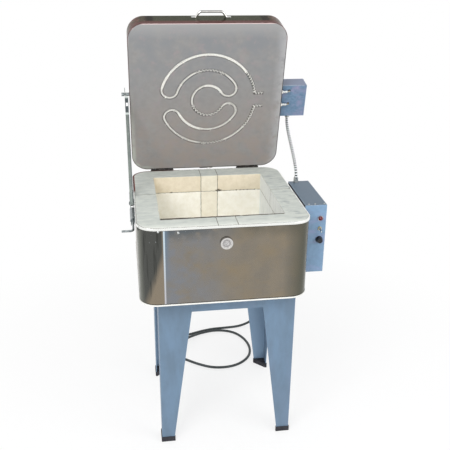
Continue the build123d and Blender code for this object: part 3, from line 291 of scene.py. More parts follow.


# Plain finishes, each named for the real material or for the painted shade it carries, with sizes, depths and
# widths in millimetres
finishes = {
    # grey-blue satin enamel sprayed on folded steel, slightly clouded down the legs, pale on the folds, worn
    # and with a painted highlight
    "standPaint": {
        "colour": "677C90", "shade": "6E869E", "cast": "71839A", "patch": 45, "stretch": (1, 1, 0.3),
        "castStretch": (1, 1, 0.2), "grain": 1.6, "depth": 0.05, "roughness": (0.36, 0.5), "specular": 0.3,
        "wearAndSheen": "8298AD", "wearAndSheenWidth": 1.6,
    },
    # the same enamel on the control box, a little bluer, streaked where it was wiped, with painted shade on
    # its top
    "boxPaint": {
        "colour": "7C9CBB", "shade": "7493B1", "cast": "8F9ABF", "patch": 18, "castStretch": (0.4, 1, 1.6),
        "grain": 1.4, "depth": 0.05, "roughness": (0.34, 0.5), "coat": 0.1, "wearAndSheen": "C9D6DF",
        "wearAndSheenWidth": 1.5, "paintedTopShade": "4C6072",
    },
    # the same enamel on the lid's box, clouded by the lid's heat, with painted shade, greyer and more violet,
    # on its top
    "lidBoxPaint": {
        "colour": "6884A0", "shade": "57738D", "cast": "8B87A5", "patch": 9, "stretch": (1, 1, 2.0),
        "castStretch": (0.6, 1, 0.6), "grain": 1.4, "depth": 0.05, "roughness": (0.34, 0.5), "coat": 0.1,
        "wearAndSheen": "B9C9D4", "wearAndSheenWidth": 1.5, "paintedTopShade": "747E96",
    },
    # near-black on the box's back plate: painted shade for the gap between the box and the jacket
    "backPlateShade": {
        "colour": "23262B", "shade": "2C3036", "patch": 20, "grain": 1.4, "depth": 0.04,
        "roughness": (0.5, 0.65),
    },
    # near-black moulded rubber, dusty, dull
    "bootRubber": {
        "colour": "26262D", "shade": "303037", "patch": 14, "grain": 1.2, "depth": 0.06,
        "roughness": (0.66, 0.85),
    },
    # pale bright zinc plating, slightly cloudy
    "zincPlate": {
        "colour": "D2D4D2", "shade": "B4B8B8", "patch": 6, "grain": 1.0, "depth": 0.02,
        "roughness": (0.2, 0.38), "metallic": 1.0,
    },
    # greyed zinc plating on the prop's bolts and nuts
    "agedZinc": {
        "colour": "A3A9AA", "shade": "6F7678", "patch": 7, "grain": 0.9, "depth": 0.02,
        "roughness": (0.26, 0.44), "metallic": 1.0,
    },
    # zinc plating burnt brown-black by the kiln's heat, on the hinges
    "darkZinc": {
        "colour": "3C3937", "shade": "2C2A29", "cast": "554F4A", "patch": 7, "grain": 0.9, "depth": 0.02,
        "roughness": (0.3, 0.5), "metallic": 0.9,
    },
    # off-white baked enamel on the pan
    "whiteSteel": {
        "colour": "EFEFEB", "shade": "E2E2DC", "patch": 40, "grain": 2.0, "depth": 0.02,
        "roughness": (0.3, 0.42),
    },
    # pressed ceramic fibre board, matt
    "boardFibre": {
        "colour": "CFC6B4", "shade": "BFB6A4", "patch": 20, "grain": 1.0, "depth": 0.1,
        "roughness": (0.85, 0.95),
    },
    # yellow brass nut, lightly tarnished
    "wornBrass": {
        "colour": "D8CFA8", "shade": "A8976A", "patch": 4, "grain": 0.8, "depth": 0.01,
        "roughness": (0.2, 0.34), "metallic": 1.0,
    },
    # black moulded switch and knob plastic, glossy on its edges
    "bakelite": {
        "colour": "17181D", "shade": "20222A", "patch": 8, "grain": 0.9, "depth": 0.015,
        "roughness": (0.22, 0.36),
    },
    # white glazed ceramic bushings
    "porcelain": {
        "colour": "F3F2EE", "shade": "E6E3DA", "patch": 9, "grain": 1.4, "depth": 0.02,
        "roughness": (0.15, 0.28),
    },
    # grey-black cord jacket, soft sheen
    "pvcBlack": {
        "colour": "33393A", "shade": "3E4445", "patch": 30, "grain": 1.1, "depth": 0.03,
        "roughness": (0.42, 0.58),
    },
    # resistance wire whitened by its oxide
    "heatWire": {
        "colour": "FFFFFC", "shade": "F4F2EA", "patch": 5, "grain": 0.7, "depth": 0.01,
        "roughness": (0.34, 0.5),
    },
    # woven glass sleeve on the leads
    "wireSleeve": {
        "colour": "B8B2A2", "shade": "A59F8F", "patch": 6, "grain": 0.6, "depth": 0.04,
        "roughness": (0.6, 0.8),
    },
    # wound bright zinc strip, with painted shade in the valleys between its ribs
    "hoseMetal": {
        "colour": "F6F8F9", "shade": "E0E4E6", "valley": "08090A", "patch": 3, "grain": 0.9, "depth": 0.03,
        "roughness": (0.24, 0.4), "metallic": 0.7,
    },
}
# the stand's enamel on the rear legs, painted lighter on the leaves that face the front, as painted light
# where the body shades them
finishes["rearStandPaint"] = dict(finishes["standPaint"], paintedFrontLight="87A1BB")
materials = {name: plainFinish(name, look) for name, look in finishes.items()}


# stainlessJacket: rolled stainless sheet, smudged, painted darker than bare steel, its blue-grey and brown
# zones painted reflections of the room; a painted highlight runs down a bend beside the front left corner;
# the hem is rolled bright
jacket = {
    "colour": "8E8577", "shade": "878075", "warm": "91846F", "cool": "85878B", "top": "646A6E",
    "topRight": "736E62", "edge": "5E5E54", "left": "565754", "leftStreak": "464744", "leftEdge": "73756C",
    "creaseHighlight": "D3E4EE", "creaseHighlightLow": "C9C9CF", "paintedHalo": "75889A", "glow": "8F8474", "hem": "F7F8F4",
    "hemBurnt": "3E1712", "glintSpeck": "C3C9CD", "shadow": "3B3832", "metallic": 1.0, "burntMetallic": 0.1,
    "creaseHighlightX": -198.0, "creaseHighlightReach": (3.4, 1.8), "paintedHaloReach": (20, 2), "lean": 0.33,
    "leanReach": (-449, -470), "hemZ": 867.4, "hemFade": 0.4, "hemShadow": (1.2, 0.9), "panTop": 605.0,
    "panShadow": (1.2, 1.2), "roughness": (0.19, 0.36), "wave": 130, "waveDepth": 0.5, "lineDepth": 0.004,
    "zones": {
        "front": ("Y", -270, -279), "rightEdge": ("X", 188, 256), "beyond": ("X", -196, -202),
        "leftward": ("X", 60, -120), "rightward": ("X", -40, 100), "upper": ("Z", 822, 862),
        "high": ("Z", 640, 820), "darkLeft": ("X", -199, -207), "darkFront": ("Y", -120, -215),
        "outerLeft": ("X", -262, -277), "outerFront": ("Y", -100, -180), "speckRight": ("X", -60, -90),
        "speckLeft": ("X", -252, -240), "speckLow": ("Z", 812, 826), "burntSide": ("X", -262, -272),
        "burntSideFrom": ("Y", 40, 70), "burntRear": ("Y", 215, 225), "burntRearFrom": ("X", -95, -125),
    },
    "clouds": {
        "shade": (55,), "warm": (85, 0.45, 0.75), "cool": (70, 0.3, 0.6), "top": (30, 0.3, 0.5),
        "topRight": (60, 0.2, 0.6), "leftStreak": (9, 0.55, 0.62, (1, 1, 0.05)), "glintSpeck": (5, 0.68, 0.72),
        "smudge": (40, 0.35, 0.7, (1, 1, 1), 5.0), "lines": (0.8, 0.3, 0.7, (1, 1, 0.03), 2.0),
    },
}


def makeJacket(name, look):
    material, tree, shader, spot = startMaterial(name, look)
    zone = zonesOf(tree, spot, look)
    cloud = cloudsOf(tree, spot, look)
    # the painted highlight down the bend, and a paler painted sheen on both sides of it
    beside = addNode(tree, "SeparateXYZ", {0: spot}, "X")
    creaseHighlightX = look["creaseHighlightX"] / 1000 + bodyMiddle.x
    beside = addNode(tree, "Math", {0: beside, 1: creaseHighlightX}, operation="SUBTRACT")
    beside = addNode(tree, "Math", {0: beside}, operation="ABSOLUTE")
    creaseHighlight, paintedHalo = [
        addNode(tree, "MapRange", {"Value": beside, "From Min": start / 1000, "From Max": whole / 1000})
        for start, whole in (look["creaseHighlightReach"], look["paintedHaloReach"])
    ]
    # painted shade on the left side, which ends along a leaning line
    slant = addNode(tree, "VectorMath", {0: spot, 1: (1, 0, -look["lean"])}, "Value", operation="DOT_PRODUCT")
    start, whole = look["leanReach"]
    slant = addNode(tree, "MapRange", {
        "Value": slant, "From Min": start / 1000 + bodyMiddle.x, "From Max": whole / 1000 + bodyMiddle.x,
    })
    dark = both(tree, zone["darkLeft"], zone["darkFront"], slant)
    creaseHighlightColour = laidOver(tree, toLinear(look["creaseHighlightLow"]), [(zone["high"], look["creaseHighlight"])])
    # the bright hem, burnt dull at the left and the rear
    burnt = addNode(tree, "Math", {
        0: both(tree, zone["burntSide"], zone["burntSideFrom"]),
        1: both(tree, zone["burntRearFrom"], zone["burntRear"]),
    }, operation="MAXIMUM")
    hemColour = laidOver(tree, toLinear(look["hem"]), [(burnt, look["hemBurnt"])])
    hem = passing(tree, spot, "Z", look["hemZ"], look["hemZ"] + look["hemFade"])
    dull = addNode(tree, "MapRange", {
        "Value": both(tree, burnt, hem), "To Min": look["metallic"], "To Max": look["burntMetallic"],
    })
    tree.links.new(dull, shader.inputs["Metallic"])
    height = addNode(tree, "SeparateXYZ", {0: spot}, "Z")
    below, hemHalf = look["hemShadow"]
    above, panHalf = look["panShadow"]
    glintSpecked = both(tree, zone["speckRight"], zone["speckLeft"], zone["speckLow"])
    colour = laidOver(tree, toLinear(look["colour"]), [
        (cloud["shade"], look["shade"]),
        (cloud["warm"], look["warm"]),
        # painted reflections: blue-grey towards the left, a darker band under the hem, brownish towards the
        # right
        (both(tree, zone["leftward"], cloud["cool"]), look["cool"]),
        (both(tree, zone["upper"], zone["leftward"], cloud["top"]), look["top"]),
        (both(tree, zone["upper"], zone["rightward"], cloud["topRight"]), look["topRight"]),
        # painted shade down the right edge
        (zone["rightEdge"], look["edge"]),
        # a paler painted sheen on both sides of the painted highlight
        (both(tree, zone["front"], paintedHalo, zone["high"]), look["paintedHalo"]),
        # painted sheen on the front left corner
        (zone["beyond"], look["glow"]),
        # painted shade on the left side, with darker streaks, and a paler painted reflection at its far edge
        (dark, look["left"]),
        (both(tree, dark, cloud["leftStreak"]), look["leftStreak"]),
        (both(tree, zone["outerLeft"], zone["outerFront"]), look["leftEdge"]),
        # the painted highlight down the bend
        (both(tree, zone["front"], creaseHighlight), creaseHighlightColour),
        (lineAt(tree, height, (look["hemZ"] - below) / 1000, hemHalf / 1000), look["shadow"]),
        (lineAt(tree, height, (look["panTop"] + above) / 1000, panHalf / 1000), look["shadow"]),
        # small painted glints near the top left
        (both(tree, glintSpecked, cloud["glintSpeck"]), look["glintSpeck"]),
        (hem, hemColour),
    ])
    tree.links.new(colour, shader.inputs["Base Color"])
    low, high = look["roughness"]
    rough = addNode(tree, "MapRange", {"Value": cloud["smudge"], "To Min": low, "To Max": high})
    tree.links.new(rough, shader.inputs["Roughness"])
    waves = addNode(tree, "TexNoise", {"Vector": spot, "Scale": perMm(look["wave"]), "Detail": 2.0})
    bent = addNode(tree, "Bump", {"Height": waves, "Distance": look["waveDepth"] / 1000})
    ruled = addNode(tree, "Bump", {
        "Height": cloud["lines"], "Distance": look["lineDepth"] / 1000, "Normal": bent,
    })
    tree.links.new(ruled, shader.inputs["Normal"])
    return material


materials["stainlessJacket"] = makeJacket("stainlessJacket", jacket)

# stainlessBand: the lid's stainless band, painted dark olive for the room it mirrors, with painted dark
# reflections and painted glints, rust-red along its lower edge
band = {
    "colour": "4F5247", "shade": "46493F", "spots": "3A3C3A", "mirrored": "2B2A2B", "corner": "5C3026",
    "glint": "9A9886", "lower": "5A302C", "grazing": "CBCAC6", "metallic": 1.0, "rustMetallic": 0.3,
    "specular": 0.1, "mirrorX": 203, "mirrorHalf": 13, "cornerReach": (205, 240), "grain": 0.8,
    "stretch": (0.05, 1, 1), "depth": 0.006, "roughness": (0.16, 0.3),
    "zones": {
        "cornerFront": ("Y", -195, -232), "front": ("Y", -180, -235), "left": ("X", -200, -262),
        "low": ("Z", 906, 889),
    },
    "clouds": {
        "shade": (60,), "spots": (26, 0.62, 0.7), "rust": (22, 0.36, 0.56),
        "glint": (11, 0.6, 0.7, (1, 1, 0.4)),
    },
}


def makeBand(name, look):
    material, tree, shader, spot = startMaterial(name, look)
    shader.inputs["Specular Tint"].default_value = toLinear(look["grazing"])
    shut = shutSpot(tree, spot)
    zone = zonesOf(tree, shut, look)
    cloud = cloudsOf(tree, spot, look)
    # rust on the front corners and, where it is seen, along the lower edge
    across = addNode(tree, "SeparateXYZ", {0: shut}, "X")
    across = addNode(tree, "Math", {0: across, 1: bodyMiddle.x}, operation="SUBTRACT")
    out = addNode(tree, "Math", {0: across}, operation="ABSOLUTE")
    start, whole = look["cornerReach"]
    corner = addNode(tree, "MapRange", {"Value": out, "From Min": start / 1000, "From Max": whole / 1000})
    corner = both(tree, corner, zone["cornerFront"])
    seen = addNode(tree, "Math", {0: zone["front"], 1: zone["left"]}, operation="MAXIMUM")
    lower = both(tree, zone["low"], seen)
    rust = addNode(tree, "Math", {0: lower, 1: both(tree, corner, cloud["rust"])}, operation="MAXIMUM")
    dull = addNode(tree, "MapRange", {
        "Value": rust, "To Min": look["metallic"], "To Max": look["rustMetallic"],
    })
    tree.links.new(dull, shader.inputs["Metallic"])
    colour = laidOver(tree, toLinear(look["colour"]), [
        (cloud["shade"], look["shade"]),
        (cloud["spots"], look["spots"]),
        # painted dark reflections towards both sides
        (lineAt(tree, out, look["mirrorX"] / 1000, look["mirrorHalf"] / 1000), look["mirrored"]),
        (rust, look["corner"]),
        # painted glints on the rusted corners
        (both(tree, corner, cloud["glint"]), look["glint"]),
        (lower, look["lower"]),
    ])
    surface(tree, shader, colour, spot, look)
    return material


materials["stainlessBand"] = makeBand("stainlessBand", band)

# firebrick: insulating brick, cream and open-pored; the faces that the lid meets, and the wall on the right,
# are brushed over with grey-white kiln wash; the right wall's inner face is painted paler and bluer as
# painted light
walls = {
    "upper": "E8DEC9", "upperShade": "DFD4BD", "lower": "F9F7EE", "lowerShade": "F1EEE2", "wash": "CBCFC8",
    "washShade": "BCC1BC", "washFront": "DCDFD8", "side": "E3E7E7", "sideStreak": "CED3D3",
    "smudge": "949B9D", "burntRim": "6E2A20", "innerEdgeShadow": "40372B", "line": "6E675A", "nickShade": "3A332C",
    "rough": 0.92, "poreDepth": 0.3, "pit": 2.7, "pitReach": (0.06, 0.3), "pitShadow": 0.9,
    "pitDepth": 0.4, "joint": 812.5, "courseFade": 0.6, "jointHalf": 0.8, "keyLeft": -25.75,
    "keyRight": 37.75, "keyHalf": 0.9, "sideJoint": 24.0, "sideHalf": 1.0, "sideFade": 1, "raggedSize": 9,
    "ragged": 1.6, "topReach": (873.5, 874.7), "innerEdgeShadowY": -212.5, "innerEdgeShadowSlope": -0.0135,
    "innerEdgeShadowReach": (-1.4, 0.6), "rimCorner": (-220, 221.5, 0), "rimReach": (55.2, 56.6),
    "zones": {
        "rear": ("Y", 200, 203), "front": ("Y", -200, -203), "rightWall": ("X", 203.6, 204.6),
        "washRight": ("X", 196, 214), "washFront": ("Y", -246, -276), "innerEdgeShadowFront": ("Y", -190, -202),
        "innerEdgeShadowLeft": ("X", -206, -203), "innerEdgeShadowRight": ("X", 204, 201), "innerEdgeShadowTop": ("Z", 868, 871),
        "rimRear": ("Y", 40, 70), "rimLeft": ("X", -95, -125),
    },
    "clouds": {
        "mottle": (24, 0.38, 0.62, (1, 1, 1), 5.0), "wash": (16, 0.38, 0.62, (0.5, 1, 1)),
        "smudge": (17, 0.56, 0.7, (0.35, 1, 1), 5.0), "washFront": (14, 0.15, 0.5, (0.35, 1, 1)),
        "sideStreak": (12, 0.5, 0.7, (1, 1, 0.2)), "nickShade": (3.5, 0.4, 0.5), "pore": (1.5, 0.3, 0.6),
    },
}
keyLook = dict(walls, upper="EAE4D3", upperShade="E1DAC7", lower="F1ECDD", lowerShade="E8E2D1")
# nicks along the rear wall's joint, painted dark as shade in their hollows, and along the walls' edges:
# place, reach and depth
jointNicks = [
    ((-139, 204, 812.5), 6, 2.6), ((112, 204, 812.5), 5, 2.4), ((126, 204, 812.5), 5, 2.8),
    ((141, 204, 812.5), 4, 2.0), ((155, 204, 812.5), 5, 2.6), ((171, 204, 812.5), 4, 2.0),
    ((184, 204, 812.5), 5, 2.8), ((42, 204, 815), 13, 3.4),
]
edgeNicks = [
    ((-205, -130, 876), 9, 3.0), ((60, -204, 876), 7, 2.2), ((-90, 204, 876), 7, 1.6),
    ((278, 40, 876), 9, 2.0),
]


def jointLines(tree, spot, ragged, zone, look):
    # the joints between bricks: beside the keys, round the chamber between the courses, and on the side walls
    wander = addNode(tree, "VectorMath", {0: spot, 1: ragged}, operation="ADD")
    acrossX, acrossY, height = [addNode(tree, "SeparateXYZ", {0: wander}, axis) for axis in "XYZ"]
    ends = addNode(tree, "Math", {0: zone["rear"], 1: zone["front"]}, operation="MAXIMUM")
    lines = [lineAt(tree, height, look["joint"] / 1000, look["jointHalf"] / 1000)]
    for key in (look["keyLeft"], look["keyRight"]):
        line = lineAt(tree, acrossX, key / 1000 + bodyMiddle.x, look["keyHalf"] / 1000)
        lines.append(both(tree, ends, line))
    for way in (1, -1):
        course = passing(tree, spot, "Z", look["joint"], look["joint"] + way * look["sideFade"])
        middle = bodyMiddle.y + way * look["sideJoint"] / 1000
        lines.append(both(tree, course, lineAt(tree, acrossY, middle, look["sideHalf"] / 1000)))
    return [(line, look["line"]) for line in lines]


# a nick's painted shade lies flatter than it is wide, and shows from start to whole, in shares of its reach
nickShadeShape = {"flat": (1.0, 1.0, 2.4), "start": 1 / 0.9, "whole": 1 / 1.5}


def nickShading(tree, spot, broken):
    # the painted shade in the hollows of the nicks in the rear wall
    total = 0.0
    for nick in jointNicks:
        middle, reach = nick[:2]
        away = addNode(tree, "VectorMath", {0: spot, 1: tuple(place(*middle))}, operation="SUBTRACT")
        away = addNode(tree, "VectorMath", {0: away, 1: nickShadeShape["flat"]}, operation="MULTIPLY")
        away = addNode(tree, "VectorMath", {0: away}, "Value", operation="LENGTH")
        start = nickShadeShape["start"] * reach / 1000
        share = addNode(tree, "MapRange", {
            "Value": away, "From Min": start, "From Max": nickShadeShape["whole"] * reach / 1000,
        })
        total = addNode(tree, "Math", {0: share, 1: total}, operation="MAXIMUM")
    return both(tree, total, broken)


def makeFirebrick(name, look):
    material, tree, shader, spot = startMaterial(name, look)
    zone = zonesOf(tree, spot, look)
    cloud = cloudsOf(tree, spot, look)
    upper = laidOver(tree, toLinear(look["upper"]), [(cloud["mottle"], look["upperShade"])])
    lower = laidOver(tree, toLinear(look["lower"]), [(cloud["mottle"], look["lowerShade"])])
    wash = laidOver(tree, toLinear(look["wash"]), [
        (cloud["wash"], look["washShade"]),
        (both(tree, zone["washRight"], cloud["smudge"]), look["smudge"]),
        (both(tree, zone["washFront"], cloud["washFront"]), look["washFront"]),
    ])
    # the right wall's inner face, painted paler and bluer than its wash as painted light on that shaded face
    side = laidOver(tree, toLinear(look["side"]), [(cloud["sideStreak"], look["sideStreak"])])
    # the wandering of the lines and edges between two colours
    ragged = addNode(tree, "TexNoise", {"Vector": spot, "Scale": perMm(look["raggedSize"]), "Detail": 4.0})
    ragged = addNode(tree, "MapRange", {
        "Value": ragged, "To Min": -look["ragged"] / 1000, "To Max": look["ragged"] / 1000,
    })
    height = addNode(tree, "SeparateXYZ", {0: spot}, "Z")
    height = addNode(tree, "Math", {0: height, 1: ragged}, operation="ADD")
    start, whole = look["topReach"]
    top = addNode(tree, "MapRange", {"Value": height, "From Min": start / 1000, "From Max": whole / 1000})
    # the painted shadow along the front wall's inner edge, which runs a little aslant
    slope = look["innerEdgeShadowSlope"]
    torn = addNode(tree, "VectorMath", {0: spot, 1: (slope, 1, 0)}, "Value", operation="DOT_PRODUCT")
    torn = addNode(tree, "Math", {0: torn, 1: ragged}, operation="ADD")
    edge = look["innerEdgeShadowY"] / 1000 + bodyMiddle.y + slope * bodyMiddle.x
    start, whole = look["innerEdgeShadowReach"]
    torn = addNode(tree, "MapRange", {
        "Value": torn, "From Min": edge + start / 1000, "From Max": edge + whole / 1000,
    })
    innerEdgeShadow = both(
        tree, torn, zone["innerEdgeShadowFront"], zone["innerEdgeShadowLeft"], zone["innerEdgeShadowRight"], zone["innerEdgeShadowTop"],
    )
    # the rim burnt brown round the rear left corner
    past = addNode(tree, "VectorMath", {0: spot, 1: tuple(place(*look["rimCorner"]))}, operation="SUBTRACT")
    past = addNode(tree, "VectorMath", {0: past, 1: (-1, 1, 0)}, operation="MULTIPLY")
    past = addNode(tree, "VectorMath", {0: past, 1: (0, 0, 0)}, operation="MAXIMUM")
    past = addNode(tree, "VectorMath", {0: past}, "Value", operation="LENGTH")
    start, whole = look["rimReach"]
    past = addNode(tree, "MapRange", {"Value": past, "From Min": start / 1000, "From Max": whole / 1000})
    joint = look["joint"]
    colour = laidOver(tree, upper, [
        (passing(tree, spot, "Z", joint + look["courseFade"], joint - look["courseFade"]), lower),
        (zone["rightWall"], side),
        (top, wash),
        *jointLines(tree, spot, ragged, zone, look),
        (nickShading(tree, spot, cloud["nickShade"]), look["nickShade"]),
        (both(tree, past, zone["rimRear"], zone["rimLeft"]), look["burntRim"]),
        (innerEdgeShadow, look["innerEdgeShadow"]),
    ])
    pores = addNode(tree, "TexVoronoi", {"Vector": spot, "Scale": perMm(look["pit"])})
    start, whole = look["pitReach"]
    pits = addNode(tree, "MapRange", {"Value": pores, "From Min": start, "From Max": whole})
    shadow = addNode(tree, "MapRange", {"Value": pits, "To Min": look["pitShadow"], "To Max": 1.0})
    colour = addNode(
        tree, "Mix", {0: 1.0, 6: colour, 7: shadow}, 2, data_type="RGBA", blend_type="MULTIPLY",
    )
    tree.links.new(colour, shader.inputs["Base Color"])
    pitted = addNode(tree, "Bump", {"Height": pits, "Distance": look["pitDepth"] / 1000})
    grained = addNode(tree, "Bump", {
        "Height": cloud["pore"], "Distance": look["poreDepth"] / 1000, "Normal": pitted,
    })
    tree.links.new(grained, shader.inputs["Normal"])
    return material


materials["firebrick"] = makeFirebrick("firebrick", walls)
materials["keyFirebrick"] = makeFirebrick("keyFirebrick", keyLook)

# lidFirebrick: the lid's brick, smoothed grey by many firings, bluish and painted darker above as painted
# shade, brownish below, paler on its rim
lidSlab = {
    "colour": "8E8D8B", "shade": "888685", "cool": "818386", "warm": "928A85", "pink": "91898A",
    "rim": "A0A29A", "rimRose": "DCC8C6", "front": "979797", "right": "A6A6A8", "rough": 0.9, "depth": 0.18,
    "middle": (0, -2.1, 876.5), "longer": 5, "corner": 244.8, "rimReach": (262, 270),
    "edgeReach": (275.5, 277.5),
    "zones": {
        "rimLeft": ("X", -170, -240), "rimRight": ("X", 190, 420), "rimRear": ("Y", -60, 220),
        "coolFront": ("Y", 60, -200), "warmRear": ("Y", -60, 180), "front": ("Y", -232, -284),
        "right": ("X", 240, 282), "roseFront": ("Y", -200, -262),
    },
    "clouds": {
        "shade": (20, 0.38, 0.62, (1, 1, 1), 6.0), "cool": (60, 0.3, 0.6), "warm": (50, 0.35, 0.6),
        "pink": (34, 0.55, 0.75), "rim": (30, 0.25, 0.5), "right": (26, 0.3, 0.55), "grain": (1.4, 0.3, 0.7),
    },
}


def makeSlab(name, look):
    material, tree, shader, spot = startMaterial(name, look)
    shut = shutSpot(tree, spot)
    zone = zonesOf(tree, shut, look)
    cloud = cloudsOf(tree, spot, look)
    # how far out a place lies, by the slab's own outline with its slanted corners
    centred = addNode(tree, "VectorMath", {0: shut, 1: tuple(place(*look["middle"]))}, operation="SUBTRACT")
    out = addNode(tree, "VectorMath", {0: centred}, operation="ABSOLUTE")
    outX = addNode(tree, "SeparateXYZ", {0: out}, "X")
    outY = addNode(tree, "SeparateXYZ", {0: out}, "Y")
    outY = addNode(tree, "Math", {0: outY, 1: look["longer"] / 1000}, operation="SUBTRACT")
    straight = addNode(tree, "Math", {0: outX, 1: outY}, operation="MAXIMUM")
    slanted = addNode(tree, "Math", {0: outX, 1: outY}, operation="ADD")
    slanted = addNode(tree, "Math", {0: slanted, 1: look["corner"] / 1000}, operation="SUBTRACT")
    reach = addNode(tree, "Math", {0: straight, 1: slanted}, operation="MAXIMUM")
    rim, edge = [
        addNode(tree, "MapRange", {"Value": reach, "From Min": start / 1000, "From Max": whole / 1000})
        for start, whole in (look["rimReach"], look["edgeReach"])
    ]
    wideRim = addNode(tree, "Math", {0: zone["rimLeft"], 1: zone["rimRight"]}, operation="MAXIMUM")
    colour = laidOver(tree, toLinear(look["colour"]), [
        (cloud["shade"], look["shade"]),
        # painted shade: darker and bluish towards the top
        (both(tree, zone["coolFront"], cloud["cool"]), look["cool"]),
        (both(tree, zone["warmRear"], cloud["warm"]), look["warm"]),
        (cloud["pink"], look["pink"]),
        (both(tree, rim, wideRim, zone["rimRear"], cloud["rim"]), look["rim"]),
        (zone["front"], look["front"]),
        (both(tree, zone["right"], cloud["right"]), look["right"]),
        (both(tree, edge, zone["roseFront"]), look["rimRose"]),
    ])
    tree.links.new(colour, shader.inputs["Base Color"])
    relief = addNode(tree, "Bump", {"Height": cloud["grain"], "Distance": look["depth"] / 1000})
    tree.links.new(relief, shader.inputs["Normal"])
    return material


materials["lidFirebrick"] = makeSlab("lidFirebrick", lidSlab)

# propSteel: dull plated strip, green-grey, with a painted shadow over its slot, painted glints above and
# below it, and painted shade along its right edge
prop = {
    "colour": "7B827E", "shade": "6A716E", "slotShadow": "4C5355", "glint": "B9C0BD", "edge": "454B4C",
    "rubbedAndSheen": "9AA19C", "rubAndSheenWidth": 1.0, "rubAndSheenSize": 6, "edgeWidth": 2.6, "edgeFade": 0.4, "slotShadowTop": 1172.0,
    "topFade": 3, "slotShadowLow": 1134.0, "lowFade": 6, "glintAway": 7, "glintTop": 4, "glintLow": 3,
    "metallic": 0.8, "grain": 1.0, "depth": 0.02, "roughness": (0.3, 0.46),
    "clouds": {"shade": (18, 0.38, 0.62, (1, 1, 0.3))},
}


def makeProp(name, look):
    material, tree, shader, spot = startMaterial(name, look)
    cloud = cloudsOf(tree, spot, look)
    # the painted shadow over the slot
    top = look["slotShadowTop"]
    low = look["slotShadowLow"]
    slotShadow = both(
        tree, passing(tree, spot, "Z", top + look["topFade"], top),
        passing(tree, spot, "Z", low - look["lowFade"], low),
    )
    height = addNode(tree, "SeparateXYZ", {0: spot}, "Z")
    across = addNode(tree, "SeparateXYZ", {0: spot}, "X")
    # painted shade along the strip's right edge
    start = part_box("prop_arm")[1].x - look["edgeWidth"] / 1000
    edge = addNode(tree, "MapRange", {
        "Value": across, "From Min": start, "From Max": start + look["edgeFade"] / 1000,
    })
    colour = laidOver(tree, toLinear(look["colour"]), [
        (cloud["shade"], look["shade"]),
        # pale edges, worn and with a painted highlight
        (edgeWearAndSheen(tree, spot, look["rubAndSheenWidth"], look["rubAndSheenSize"]), look["rubbedAndSheen"]),
        (edge, look["edge"]),
        (slotShadow, look["slotShadow"]),
        # painted glints above and below the painted shadow
        (lineAt(tree, height, (top + look["glintAway"]) / 1000, look["glintTop"] / 1000), look["glint"]),
        (lineAt(tree, height, (low - look["glintAway"]) / 1000, look["glintLow"] / 1000), look["glint"]),
    ])
    surface(tree, shader, colour, spot, look)
    return material


materials["propSteel"] = makeProp("propSteel", prop)


# burntTab: heat-browned tab at the lid's rear edge, whose wire eye is rubbed bright
eye = {
    "colour": "332E2C", "shade": "262221", "bright": "E6E4E0", "x": 14.0, "reach": 7.4, "fade": 1.0,
    "patch": 6, "metallic": 0.4, "grain": 0.9, "depth": 0.02, "roughness": (0.28, 0.46),
}


def makeTab(name, look):
    material, tree, shader, spot = startMaterial(name, look)
    low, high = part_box("lid_rear_eye")
    middle = Vector((look["x"] / 1000 + bodyMiddle.x, (low.y + high.y) / 2, (low.z + high.z) / 2))
    away = addNode(tree, "VectorMath", {0: spot, 1: tuple(middle)}, "Value", operation="DISTANCE")
    bright = addNode(tree, "MapRange", {
        "Value": away, "From Min": (look["reach"] + look["fade"]) / 1000, "From Max": look["reach"] / 1000,
    })
    colour = laidOver(tree, toLinear(look["colour"]), [
        (patches(tree, spot, look["patch"]), look["shade"]), (bright, look["bright"]),
    ])
    surface(tree, shader, colour, spot, look)
    return material


materials["burntTab"] = makeTab("burntTab", eye)


# handleChrome: chrome-plated rod, bright on its feet, with a painted dark reflection along the outer side of
# its bow
handle = {
    "colour": "E4E2E0", "shade": "D2CFCC", "darkReflection": "3E3A37", "patch": 12, "outer": (0.5, 0.75),
    "metallic": 1.0, "grain": 1.0, "depth": 0.008, "roughness": (0.1, 0.2),
    "zones": {"bow": ("Y", -289.1, -291.1)},
}


def makeHandleChrome(name, look):
    material, tree, shader, spot = startMaterial(name, look)
    zone = zonesOf(tree, shutSpot(tree, spot), look)
    normal = addNode(tree, "SeparateXYZ", {0: addNode(tree, "TexCoord", out="Normal")}, "Z")
    start, whole = look["outer"]
    outer = addNode(tree, "MapRange", {"Value": normal, "From Min": start, "From Max": whole})
    colour = laidOver(tree, toLinear(look["colour"]), [
        (patches(tree, spot, look["patch"]), look["shade"]),
        (both(tree, zone["bow"], outer), look["darkReflection"]),
    ])
    surface(tree, shader, colour, spot, look)
    return material


materials["handleChrome"] = makeHandleChrome("handleChrome", handle)


# switchBody: black moulded toggle switch, whose threaded neck outside the box is bright metal
toggle = {
    "colour": "17181D", "shade": "20222A", "neck": "D4D6D4", "neckFade": 0.4, "patch": 8, "grain": 0.9,
    "depth": 0.015, "roughness": (0.22, 0.34),
}


def makeSwitch(name, look):
    material, tree, shader, spot = startMaterial(name, look)
    depth = addNode(tree, "SeparateXYZ", {0: spot}, "Y")
    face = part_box("control_box_shell")[0].y
    neck = addNode(tree, "MapRange", {
        "Value": depth, "From Min": face + look["neckFade"] / 1000, "From Max": face,
    })
    colour = laidOver(tree, toLinear(look["colour"]), [
        (patches(tree, spot, look["patch"]), look["shade"]), (neck, look["neck"]),
    ])
    tree.links.new(neck, shader.inputs["Metallic"])
    surface(tree, shader, colour, spot, look)
    return material


materials["switchBody"] = makeSwitch("switchBody", toggle)


